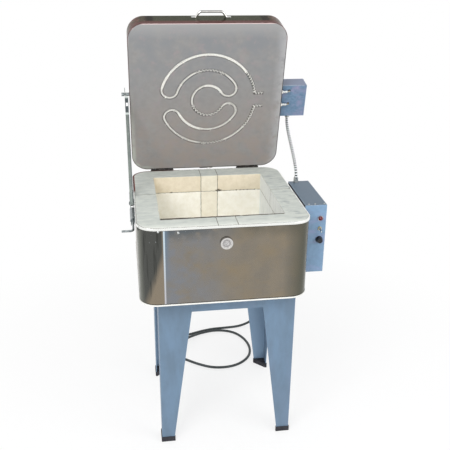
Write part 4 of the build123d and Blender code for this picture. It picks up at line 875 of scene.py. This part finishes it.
# peepCap: spun cap of the peephole plug, bright on its rim, hazed in its dish, rings in shares of its radius
cap = {
    "edge": "8A8784", "rim": "D6D4D1", "dish": "B6B4B4", "haze": "D2D0CF", "shade": "989594", "step": 0.52,
    "stepHalf": 1.6, "rimReach": (0.7, 0.78), "edgeReach": (0.93, 0.97), "metallic": 0.7, "grain": 1.0,
    "depth": 0.01, "roughness": (0.16, 0.3),
    "clouds": {"haze": (7, 0.45, 0.6), "shade": (4, 0.56, 0.66)},
}


def makeCap(name, look):
    material, tree, shader, spot = startMaterial(name, look)
    cloud = cloudsOf(tree, spot, look)
    low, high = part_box("peephole_cap")
    away = addNode(tree, "VectorMath", {0: spot, 1: tuple((low + high) / 2)}, operation="SUBTRACT")
    away = addNode(tree, "VectorMath", {0: away, 1: (1, 0, 1)}, operation="MULTIPLY")
    away = addNode(tree, "VectorMath", {0: away}, "Value", operation="LENGTH")
    radius = (high.x - low.x) / 2
    rim, edge = [
        addNode(tree, "MapRange", {"Value": away, "From Min": radius * start, "From Max": radius * whole})
        for start, whole in (look["rimReach"], look["edgeReach"])
    ]
    colour = laidOver(tree, toLinear(look["dish"]), [
        (cloud["haze"], look["haze"]),
        (cloud["shade"], look["shade"]),
        (lineAt(tree, away, radius * look["step"], look["stepHalf"] / 1000), look["shade"]),
        (rim, look["rim"]),
        (edge, look["edge"]),
    ])
    surface(tree, shader, colour, spot, look)
    return material


materials["peepCap"] = makeCap("peepCap", cap)


# redLens: moulded red lamp lens, dark in its depth
lens = {
    "colour": "7E1A20", "shade": "5E1016", "patch": 3, "rough": 0.16, "clear": 0.2, "ripple": 2.0,
    "depth": 0.04,
}


def makeLens(name, look):
    material, tree, shader, spot = startMaterial(name, look)
    colour = laidOver(tree, toLinear(look["colour"]), [(patches(tree, spot, look["patch"]), look["shade"])])
    tree.links.new(colour, shader.inputs["Base Color"])
    shader.inputs["Transmission Weight"].default_value = look["clear"]
    ripple = patches(tree, spot, look["ripple"])
    relief = addNode(tree, "Bump", {"Height": ripple, "Distance": look["depth"] / 1000})
    tree.links.new(relief, shader.inputs["Normal"])
    return material


materials["redLens"] = makeLens("redLens", lens)
print("materials made")


# Finishes of the CAD nodes, by the material that each real piece has or the painted shade it carries
dressing = {
    "standPaint": ["stand_leg_front_left", "stand_leg_front_right", "stand_rail_front", "stand_rail_rear",
                   "stand_rail_left", "stand_rail_right"],
    "rearStandPaint": ["stand_leg_rear_left", "stand_leg_rear_right"],
    "boxPaint": ["control_box_shell"],
    "backPlateShade": ["control_box_back"],
    "lidBoxPaint": ["lid_box_cover", "lid_box_base"],
    "bootRubber": ["leg_boots"],
    "zincPlate": ["body_screws", "lid_screws", "control_box_screws", "lamp_bezel", "element_terminals",
                  "hose_fitting_lower", "hose_fitting_upper", "box_standoffs", "toggle_lever", "plug_blades"],
    "agedZinc": ["wing_nut", "prop_pivot_bolt", "bolt_barrel", "bolt_keeper", "lock_bolt"],
    "darkZinc": ["lid_hinge_leaves", "body_hinge_leaves", "hinge_pins"],
    "burntTab": ["lid_rear_eye"],
    "whiteSteel": ["base_pan"],
    "boardFibre": ["backing_board"],
    "wornBrass": ["toggle_nut"],
    "bakelite": ["rotary_switch", "control_knob", "terminal_block"],
    "switchBody": ["toggle_switch"],
    "porcelain": ["element_bushings", "peephole_plug"],
    "propSteel": ["prop_arm"],
    "handleChrome": ["lid_handle"],
    "peepCap": ["peephole_cap"],
    "pvcBlack": ["strain_relief", "cord_plug"],
    "heatWire": ["element_staples"],
    "wireSleeve": ["lid_box_leads", "box_wires"],
    "stainlessJacket": ["jacket"],
    "stainlessBand": ["lid_band"],
    "firebrick": ["floor_bricks", "wall_bricks_lower", "wall_bricks_upper"],
    "keyFirebrick": ["key_bricks"],
    "lidFirebrick": ["lid_slab"],
    "redLens": ["lamp_lens"],
}
for materialName, names in dressing.items():
    for name in names:
        for slot in nodes[name].material_slots:
            slot.material = materials[materialName]


def standIn(piece, name):
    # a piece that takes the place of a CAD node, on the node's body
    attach(piece, nodes[name]["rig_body"])
    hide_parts(name)


# How copies are made: the weld in millimetres, the turns that count as flat, smooth and sharp in degrees
shaping = {"weld": 0.002, "flat": 0.5, "smooth": 35, "sharp": 40}


def smoothShade(mesh, angle=shaping["smooth"]):
    for polygon in mesh.polygons:
        polygon.use_smooth = True
    mesh.set_sharp_from_angle(angle=math.radians(angle))


# Softened copies: folded sheet, boots and solid pieces whose sharp edges get small rounds, in millimetres
softening = {
    "stand_leg_front_left": 0.7, "stand_leg_front_right": 0.7, "stand_leg_rear_left": 0.7,
    "stand_leg_rear_right": 0.7, "stand_rail_front": 0.5, "stand_rail_rear": 0.5, "stand_rail_left": 0.5,
    "stand_rail_right": 0.5, "control_box_shell": 0.5, "lid_box_cover": 0.45, "leg_boots": 0.8,
    "cord_plug": 1.5, "key_bricks": 1.2,
}


def mergedCopy(name):
    build = bmesh.new()
    build.from_mesh(nodes[name].data)
    bmesh.ops.remove_doubles(build, verts=build.verts, dist=shaping["weld"] / 1000)
    flat = math.radians(shaping["flat"])
    bmesh.ops.dissolve_limit(build, angle_limit=flat, verts=build.verts, edges=build.edges)
    return build


def sharpEdges(build):
    sharp = math.radians(shaping["sharp"])
    return [edge for edge in build.edges if edge.is_manifold and edge.calc_face_angle() > sharp]


def roundEdges(build, edges, width, segments=2):
    made = bmesh.ops.bevel(
        build, geom=edges, offset=width, offset_type="OFFSET", segments=segments, profile=0.5, affect="EDGES",
        material=-1, clamp_overlap=True,
    )
    return made["verts"]


def finishCopy(build, name, pieceName):
    mesh = bpy.data.meshes.new(pieceName)
    build.to_mesh(mesh)
    build.free()
    smoothShade(mesh)
    mesh.materials.append(nodes[name].material_slots[0].material)
    piece = addObject(pieceName, mesh)
    weighted = piece.modifiers.new("weighted", "WEIGHTED_NORMAL")
    weighted.keep_sharp = True
    standIn(piece, name)
    return piece


for name, width in softening.items():
    build = mergedCopy(name)
    roundEdges(build, sharpEdges(build), width / 1000)
    finishCopy(build, name, name + "_soft")
print("softened copies made")

# Lid slab: its rim worn round, the groove's edges a little
slabEdges = {
    "rim": 3.0, "rimSteps": 4, "groove": 0.7, "grooveSteps": 1, "low": 876.5, "slack": 0.1, "rimX": 262.0,
    "rimY": 267.0, "corner": 520.0,
}


def wearSlab(values):
    # the edges of the slab's under side are told apart by how far out they lie
    build = mergedCopy("lid_slab")
    rim = []
    grooves = []
    for edge in sharpEdges(build):
        spots = [(shutting @ vert.co - bodyMiddle) * 1000 for vert in edge.verts]
        heights = [(shutting @ vert.co).z * 1000 for vert in edge.verts]
        under = all(abs(height - values["low"]) < values["slack"] for height in heights)
        outer = all(
            abs(spot.x) > values["rimX"] or abs(spot.y) > values["rimY"]
            or abs(spot.x) + abs(spot.y) > values["corner"]
            for spot in spots
        )
        if under:
            (rim if outer else grooves).append(edge)
    grooveEnds = {frozenset(edge.verts) for edge in grooves}
    roundEdges(build, rim, values["rim"] / 1000, values["rimSteps"])
    left = [edge for edge in build.edges if frozenset(edge.verts) in grooveEnds]
    roundEdges(build, left, values["groove"] / 1000, values["grooveSteps"])
    finishCopy(build, "lid_slab", "lid_slab_worn")


wearSlab(slabEdges)
print("lid slab made")

# Bricks: each cut from its own outline, its edges worn round and nicked, with a dark joint between neighbours
bricks = {
    "outerX": 278.8, "outerY": 280.3, "corner": 58.8, "cornerSteps": 12, "chamberX": 205.0, "chamberY": 204.0,
    "keyLeft": walls["keyLeft"], "keyRight": walls["keyRight"], "floorLow": 634.7, "floorTop": 698.2,
    "joint": walls["joint"], "top": 876.0, "sideJoint": walls["sideJoint"], "strips": 4, "gap": 0.35,
    "clear": 0.1, "edge": 1.1, "cell": 7.0, "floorCell": 18.0, "slack": 0.01, "flake": 11, "flakeFrom": 0.12,
    "flakeDepth": 1.3, "grit": 4, "gritDepth": 0.3,
}


def cutBrick(course, outline, low, high, corners, values):
    brick = bmesh.new()
    base = brick.faces.new([brick.verts.new((x, y, low)) for x, y in outline])
    raised = bmesh.ops.extrude_face_region(brick, geom=[base])["geom"]
    upper = [part for part in raised if isinstance(part, bmesh.types.BMVert)]
    bmesh.ops.translate(brick, vec=(0, 0, high - low), verts=upper)
    bmesh.ops.recalc_face_normals(brick, faces=brick.faces)
    slack = values["slack"]
    uprights = [
        edge for edge in brick.edges
        if (edge.verts[0].co - edge.verts[1].co).xy.length < slack
        and any((edge.verts[0].co.xy - Vector(corner)).length < slack for corner in corners)
    ]
    if uprights:
        roundEdges(brick, uprights, values["corner"], values["cornerSteps"])
    for axis in range(3):
        across = Vector([1.0 if axis == side else 0.0 for side in range(3)])
        ends = sorted(vert.co[axis] for vert in brick.verts)
        count = max(2, round((ends[-1] - ends[0]) / values["cell"]))
        for cut in range(1, count):
            at = across * (ends[0] + (ends[-1] - ends[0]) * cut / count)
            geom = brick.verts[:] + brick.edges[:] + brick.faces[:]
            bmesh.ops.bisect_plane(brick, geom=geom, dist=slack / 10, plane_co=at, plane_no=across)
    # edges flaked and gritty as the brick crumbled, with the larger nicks where they are
    worn = roundEdges(brick, sharpEdges(brick), values["edge"])
    brick.normal_update()
    for vert in worn:
        flake = noise.noise(vert.co / values["flake"]) - values["flakeFrom"]
        grit = noise.noise(vert.co / values["grit"])
        depth = max(0.0, flake) * values["flakeDepth"] + max(0.0, grit) * values["gritDepth"]
        for spot, reach, deep in jointNicks + edgeNicks:
            away = (vert.co - Vector(spot)).length / reach
            if away < 1:
                depth += deep * (1 - away * away)
        vert.co -= vert.normal * depth
    loose = bpy.data.meshes.new("brick")
    brick.to_mesh(loose)
    brick.free()
    course.from_mesh(loose)
    bpy.data.meshes.remove(loose)


def layCourse(course, low, high, sideJoint, values):
    # the four bricks of one course: each runs from a side joint round a corner to a key brick
    for sideX, key in ((-1, values["keyLeft"]), (1, values["keyRight"])):
        for sideY in (-1, 1):
            keyEdge = key + sideX * values["gap"]
            sideEdge = sideJoint + sideY * values["gap"]
            outX = sideX * values["outerX"]
            outY = sideY * values["outerY"]
            inX = sideX * values["chamberX"]
            inY = sideY * values["chamberY"]
            outline = [(outX, sideEdge), (inX, sideEdge), (inX, inY)]
            outline += [(keyEdge, inY), (keyEdge, outY), (outX, outY)]
            cutBrick(course, outline, low, high, [(outX, outY)], values)


def finishBricks(course, name, pieceName):
    bmesh.ops.scale(course, vec=(0.001, 0.001, 0.001), verts=course.verts)
    bmesh.ops.translate(course, vec=place(0, 0, 0), verts=course.verts)
    return finishCopy(course, name, pieceName)


def makeBricks(values):
    gap = values["gap"]
    course = bmesh.new()
    layCourse(course, values["floorTop"] + values["clear"], values["joint"], -values["sideJoint"], values)
    finishBricks(course, "wall_bricks_lower", "lower_course")
    course = bmesh.new()
    layCourse(course, values["joint"] + 2 * gap, values["top"], values["sideJoint"], values)
    finishBricks(course, "wall_bricks_upper", "upper_course")
    course = bmesh.new()
    wide = 2 * values["outerX"] / values["strips"]
    coarse = dict(values, cell=values["floorCell"])
    for strip in range(values["strips"]):
        start = -values["outerX"] + wide * strip
        end = start + wide - gap
        outY = values["outerY"]
        outline = [(start, -outY), (end, -outY), (end, outY), (start, outY)]
        corners = [(start, -outY), (start, outY)] if strip == 0 else []
        corners += [(end, -outY), (end, outY)] if strip == values["strips"] - 1 else []
        cutBrick(course, outline, values["floorLow"], values["floorTop"], corners, coarse)
    finishBricks(course, "floor_bricks", "floor_course")


makeBricks(bricks)
print("bricks laid")

# Free mains cord: one smooth curve, from the strain relief down to the floor and round there to the plug
cord = {"radius": 5.5, "length": 2.23, "sides": 4, "steps": 12, "order": 3}
cordPoints = [
    (325, 140, 652), (325, 202, 652), (321, 268, 626), (314, 332, 548), (306, 378, 446), (298, 414, 328),
    (290, 444, 214), (280, 478, 116), (262, 512, 44), (229, 526, 13), (184, 516, 5.6), (116, 512, 5.6),
    (42, 509, 5.6), (-56, 474, 5.6), (-134, 452, 5.6), (-188, 396, 5.6), (-172, 324, 5.6), (-104, 292, 5.6),
    (-44, 238, 5.6), (30, 195, 5.6), (122, 199, 5.6), (190, 254, 5.6), (211, 330, 5.6), (196, 412, 5.6),
    (152, 475, 5.6), (78, 498, 5.6), (6, 483, 5.6), (-44, 448, 12.6), (-86, 424, 12.6),
]


def makeCord(values, points):
    curve = bpy.data.curves.new("mains_cord", "CURVE")
    curve.dimensions = "3D"
    curve.bevel_depth = values["radius"] / 1000
    curve.bevel_resolution = values["sides"]
    curve.resolution_u = values["steps"]
    curve.use_fill_caps = True
    spline = curve.splines.new("NURBS")
    spline.points.add(len(points) - 1)
    for slot, point in zip(spline.points, points):
        slot.co = (*place(*point), 1.0)
    spline.order_u = values["order"]
    spline.use_endpoint_u = True
    curve.materials.append(materials["pvcBlack"])
    piece = addObject("mains_cord", curve)
    standIn(piece, "power_cord")


makeCord(cord, cordPoints)
print("cord made")

# Ribbed hose: wound strip, each turn a rounded rib with a narrow valley beside it
hose = {
    "radius": 6.4, "valley": 2.0, "pitch": 9.4, "bottom": (314, 88.0, 884.3), "top": (320, 86.2, 923.5),
    "straight": 15, "bottomPull": 60, "topPull": 50, "steps": 20, "samples": 600, "sides": 8, "smooth": 50,
    "darkGain": 1.5, "darkFrom": 0.4,
}
# one turn of the strip: how far along the pitch, and how deep in the valley
ribProfile = [
    (0.0, 1.0), (0.19, 0.95), (0.26, 0.4), (0.36, 0.06), (0.5, 0.0), (0.64, 0.06), (0.74, 0.4), (0.81, 0.95),
]


def hoseLine(values):
    # straight out of each fitting, and one curve between
    bottom = place(*values["bottom"])
    top = onLid(*values["top"])
    lean = math.radians(90 - hinge["open"])
    bottomWay = Vector((0, 0, 1))
    topWay = Vector((0, math.sin(lean), -math.cos(lean)))
    start = bottom + bottomWay * values["straight"] / 1000
    end = top + topWay * values["straight"] / 1000
    near = start + bottomWay * values["bottomPull"] / 1000
    far = end + topWay * values["topPull"] / 1000
    line = [bottom]
    for index in range(values["samples"] + 1):
        t = index / values["samples"]
        s = 1 - t
        line.append(start * s**3 + near * (3 * s * s * t) + far * (3 * s * t * t) + end * t**3)
    line.append(top)
    return line


def evenly(line, spacing):
    # points of a line at even steps, and where each lies in the line's own list
    travel = [0.0]
    for before, after in zip(line, line[1:]):
        travel.append(travel[-1] + (after - before).length)
    count = max(2, round(travel[-1] / spacing))
    points = []
    places = []
    index = 0
    smallest = 1e-12  # keeps points that fall together from dividing by nothing
    for step in range(count + 1):
        target = travel[-1] * step / count
        while index < len(travel) - 2 and travel[index + 1] < target:
            index += 1
        share = (target - travel[index]) / max(travel[index + 1] - travel[index], smallest)
        points.append(line[index].lerp(line[index + 1], min(max(share, 0.0), 1.0)))
        places.append(index)
    return points, places


def makeHose(values):
    even = evenly(hoseLine(values), values["pitch"] / 1000 / values["steps"])[0]
    last = len(even) - 1
    ribs = round(last / values["steps"])
    rings = []
    for rib in range(ribs):
        for share, drop in ribProfile:
            rings.append((even[min(round((rib + share) * last / ribs), last)], drop))
    rings.append((even[-1], 1.0))
    curve = bpy.data.curves.new("hose_line", "CURVE")
    curve.dimensions = "3D"
    curve.bevel_depth = values["radius"] / 1000
    curve.bevel_resolution = values["sides"]
    curve.use_fill_caps = True
    spline = curve.splines.new("POLY")
    spline.points.add(len(rings) - 1)
    for slot, (point, drop) in zip(spline.points, rings):
        slot.co = (*point, 1.0)
        slot.radius = 1 - drop * values["valley"] / values["radius"]
    shaped = addObject("hose_line", curve)
    mesh = bpy.data.meshes.new_from_object(shaped)
    mesh.name = "metal_hose"
    bpy.data.objects.remove(shaped)
    mesh.materials.clear()
    mesh.materials.append(materials["hoseMetal"])
    smoothShade(mesh, values["smooth"])
    middles = kdtree.KDTree(len(even))
    for index, point in enumerate(even):
        middles.insert(point, index)
    middles.balance()
    # how deep each point lies in a valley, which the finish paints as shade
    depth = mesh.attributes.new("valley", "FLOAT", "POINT")
    for vert, mark in zip(mesh.vertices, depth.data):
        sunk = (values["radius"] - middles.find(vert.co)[2] * 1000) / values["valley"]
        mark.value = min(max(sunk * values["darkGain"] - values["darkFrom"], 0.0), 1.0)
    piece = addObject("metal_hose", mesh)
    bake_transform(piece)
    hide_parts("wiring_hose")


makeHose(hose)
print("hose made")

# Element: one coil along three rings under the lid, wound close or stretched as it was fitted, with a twisted
# tail at each end; each winding gives the pitch, the coil's radius and the wire's
element = {
    "centreX": 3.0, "centreY": 0.9, "z": 879.7, "tailZ": 881.3, "rings": (175.0, 117.0, 58.0), "tail": 25.5,
    "tailEnd": 209.0, "tailSteps": 20, "terminal": 299.3, "riseFrom": 216.0, "riseTo": 262.0, "rise": 884.5,
    "step": 1.5, "even": 1.0, "perTurn": 10, "smoothing": 3, "blending": 6, "back": 2, "ahead": 3,
    "wire": 1.0, "strand": 1.2, "lay": 14, "overlap": 3, "strandSteps": 160,
}
windings = {
    "close": (2.8, 4.2, 1.1), "slim": (3.2, 3.0, 1.0), "even": (4.4, 3.4, 1.1), "open": (12.0, 3.7, 1.2),
    "wide": (10.5, 4.3, 1.2),
}
# The element's path between its tails: on each ring the stretches, each with the angle where it ends and its
# winding, then the hairpin to the next ring, with its side and its winding
elementPath = [
    (0, [(36, "wide"), (163, "close")], (1, "slim")),
    (1, [(112, "slim"), (60, "open"), (31, "slim")], (-1, "slim")),
    (2, [(100, "close"), (200, "slim"), (331, "open")], (1, "even")),
    (1, [(260, "slim"), (206, "close")], (-1, "slim")),
    (0, [(260, "slim"), (290, "open"), (322, "slim")], None),
]


def elementLine(values):
    line = []
    wound = []

    def spot(radius, angle):
        turn = math.radians(angle)
        x = values["centreX"] + radius * math.cos(turn)
        return Vector((x, values["centreY"] - radius * math.sin(turn), values["z"]))

    def add(point, winding):
        line.append(point)
        wound.append(winding)

    def arc(radius, start, stretches):
        # round a ring, each stretch wound its own way as far as an angle
        for end, winding in stretches:
            count = max(2, int(abs(math.radians(end - start)) * radius / values["step"]))
            for index in range(count + 1):
                add(spot(radius, start + (end - start) * index / count), winding)
            start = end

    def hairpin(first, second, angle, side, winding):
        # half a turn from one ring to another
        half = abs(first - second) / 2
        centre = spot((first + second) / 2, angle)
        outward = (spot(first, angle) - centre).normalized()
        ahead = math.radians(angle + 90 * side)
        away = Vector((math.cos(ahead), -math.sin(ahead), 0))
        count = int(math.pi * half / values["step"])
        for index in range(1, count):
            turn = math.pi * index / count
            add(centre + (outward * math.cos(turn) + away * math.sin(turn)) * half, winding)

    outer = values["rings"][0]
    tailAngle = math.degrees(math.asin(values["tail"] / outer))
    nearTail = spot(outer, tailAngle)
    farTail = spot(outer, -tailAngle)
    steps = values["tailSteps"]
    for index in range(steps):
        add(Vector((values["tailEnd"], nearTail.y, values["tailZ"])).lerp(nearTail, index / steps), "wide")
    angle = tailAngle
    for number, (ring, stretches, bend) in enumerate(elementPath):
        radius = values["rings"][ring]
        arc(radius, angle, stretches)
        angle = stretches[-1][0]
        if bend:
            hairpin(radius, values["rings"][elementPath[number + 1][0]], angle, *bend)
    arc(outer, angle, [(360 - tailAngle, "wide")])
    for index in range(1, steps + 1):
        add(farTail.lerp(Vector((values["tailEnd"], farTail.y, values["tailZ"])), index / steps), "wide")
    return line, wound


def makeElement(values):
    line, wound = elementLine(values)
    even, places = evenly(line, values["even"])
    count = len(even)
    smooth = []
    wound = [windings[wound[place]] for place in places]
    for index in range(count):
        reach = min(values["smoothing"], index, count - 1 - index)
        group = even[index - reach:index + reach + 1]
        smooth.append(sum(group, Vector()) / len(group))
    curve = bpy.data.curves.new("element_coil", "CURVE")
    curve.dimensions = "3D"
    curve.bevel_depth = values["wire"] / 1000
    curve.bevel_resolution = 1
    curve.resolution_u = 1
    coil = []
    travel = 0.0
    turn = 0.0
    while travel < count - 1:
        index = int(travel)
        near = wound[max(index - values["blending"], 0):index + values["blending"] + 1]
        pitch, radius, wire = [sum(winding[part] for winding in near) / len(near) for part in range(3)]
        centre = smooth[index].lerp(smooth[min(index + 1, count - 1)], travel - index)
        behind = smooth[max(index - values["back"], 0)]
        ahead = smooth[min(index + values["ahead"], count - 1)] - behind
        across = Vector((-ahead.y, ahead.x, 0)).normalized()
        around = across * math.cos(turn) + Vector((0, 0, 1)) * math.sin(turn)
        coil.append((centre + around * radius, wire))
        turn += 2 * math.pi / values["perTurn"]
        travel += pitch / values["perTurn"]
    strands = [coil]
    tailStart = values["tailEnd"] - values["overlap"]
    lastStep = values["strandSteps"] - 1
    for sideY in (even[0].y, even[-1].y):
        for phase in (0.0, math.pi):
            strand = []
            for step in range(lastStep + 1):
                x = tailStart + (values["terminal"] - tailStart) * step / lastStep
                lift = (x - values["riseFrom"]) / (values["riseTo"] - values["riseFrom"])
                lift = min(max(lift, 0.0), 1.0)
                lift = lift * lift * (3 - 2 * lift)
                z = values["tailZ"] + (values["rise"] - values["tailZ"]) * lift
                turned = phase + 2 * math.pi * x / values["lay"]
                aside = Vector((0, math.cos(turned), math.sin(turned))) * values["strand"]
                strand.append((Vector((x, sideY, z)) + aside, values["strand"]))
            strands.append(strand)
    for strand in strands:
        spline = curve.splines.new("POLY")
        spline.points.add(len(strand) - 1)
        for slot, (point, wire) in zip(spline.points, strand):
            slot.co = (*onLid(*point), 1.0)
            slot.radius = wire
    curve.materials.append(materials["heatWire"])
    piece = addObject("element_coil", curve)
    standIn(piece, "lid_element")
    print("coil turns", round(turn / 2 / math.pi))


makeElement(element)
print("element made")

# Stage: pale floor that meets a white background, soft light
stage = {
    "floor": 6.0, "floorGrey": 0.93, "floorRough": 0.9, "below": 0.4, "world": 0.75, "nearWhite": 0.72,
    "near": 0.45, "far": 1.5,
}
lamps = {
    "keyLamp": {"at": (-1300, -1900, 2600), "aim": (0, 0, 800), "size": 1.4, "power": 42.0},
    "fillLamp": {"at": (1700, -1500, 1700), "aim": (0, 0, 700), "size": 1.6, "power": 18.0},
}


def makeStage(values):
    world = bpy.data.worlds.new("studio")
    bpy.context.scene.world = world
    world.use_nodes = True
    tree = world.node_tree
    background = tree.nodes["Background"]
    background.inputs["Color"].default_value = (1, 1, 1, 1)
    strength = addNode(tree, "MapRange", {
        "Value": seenDirectly(tree), "To Min": values["world"], "To Max": 1.0,
    })
    tree.links.new(strength, background.inputs["Strength"])

    build = bmesh.new()
    bmesh.ops.create_grid(build, x_segments=1, y_segments=1, size=values["floor"])
    mesh = bpy.data.meshes.new("floor")
    build.to_mesh(mesh)
    build.free()
    floor = addObject("floor", mesh)
    floor.location = (0, 0, -values["below"] / 1000)
    material, tree, shader, spot = startMaterial("studioFloor", {"rough": values["floorRough"]})
    shader.inputs["Base Color"].default_value = (values["floorGrey"],) * 3 + (1,)
    away = addNode(tree, "VectorMath", {0: spot}, "Value", operation="LENGTH")
    white = addNode(tree, "MapRange", {
        "Value": away, "From Min": values["near"], "From Max": values["far"], "To Min": values["nearWhite"],
        "To Max": 1.0,
    })
    glow = addNode(tree, "Emission")
    share = both(tree, seenDirectly(tree), white)
    mixed = addNode(tree, "MixShader", {0: share, 1: shader.outputs[0], 2: glow})
    tree.links.new(mixed, tree.nodes["Material Output"].inputs["Surface"])
    mesh.materials.append(material)


def seenDirectly(tree):
    # 1 for what the camera, metal and glass see, 0 for the light on the object
    rays = tree.nodes.new("ShaderNodeLightPath")
    seen = addNode(tree, "Math", {
        0: rays.outputs["Is Camera Ray"], 1: rays.outputs["Is Glossy Ray"],
    }, operation="MAXIMUM")
    return addNode(tree, "Math", {0: seen, 1: rays.outputs["Is Transmission Ray"]}, operation="MAXIMUM")


def addLamp(name, values):
    data = bpy.data.lights.new(name, "AREA")
    data.shape = "SQUARE"
    data.size = values["size"]
    data.energy = values["power"]
    lamp = addObject(name, data)
    centre = place(*values["at"])
    lamp.location = centre
    lamp.rotation_euler = (place(*values["aim"]) - centre).to_track_quat("-Z", "Y").to_euler()
    lamp.visible_camera = False


makeStage(stage)
for name, values in lamps.items():
    addLamp(name, values)
print("stage set")
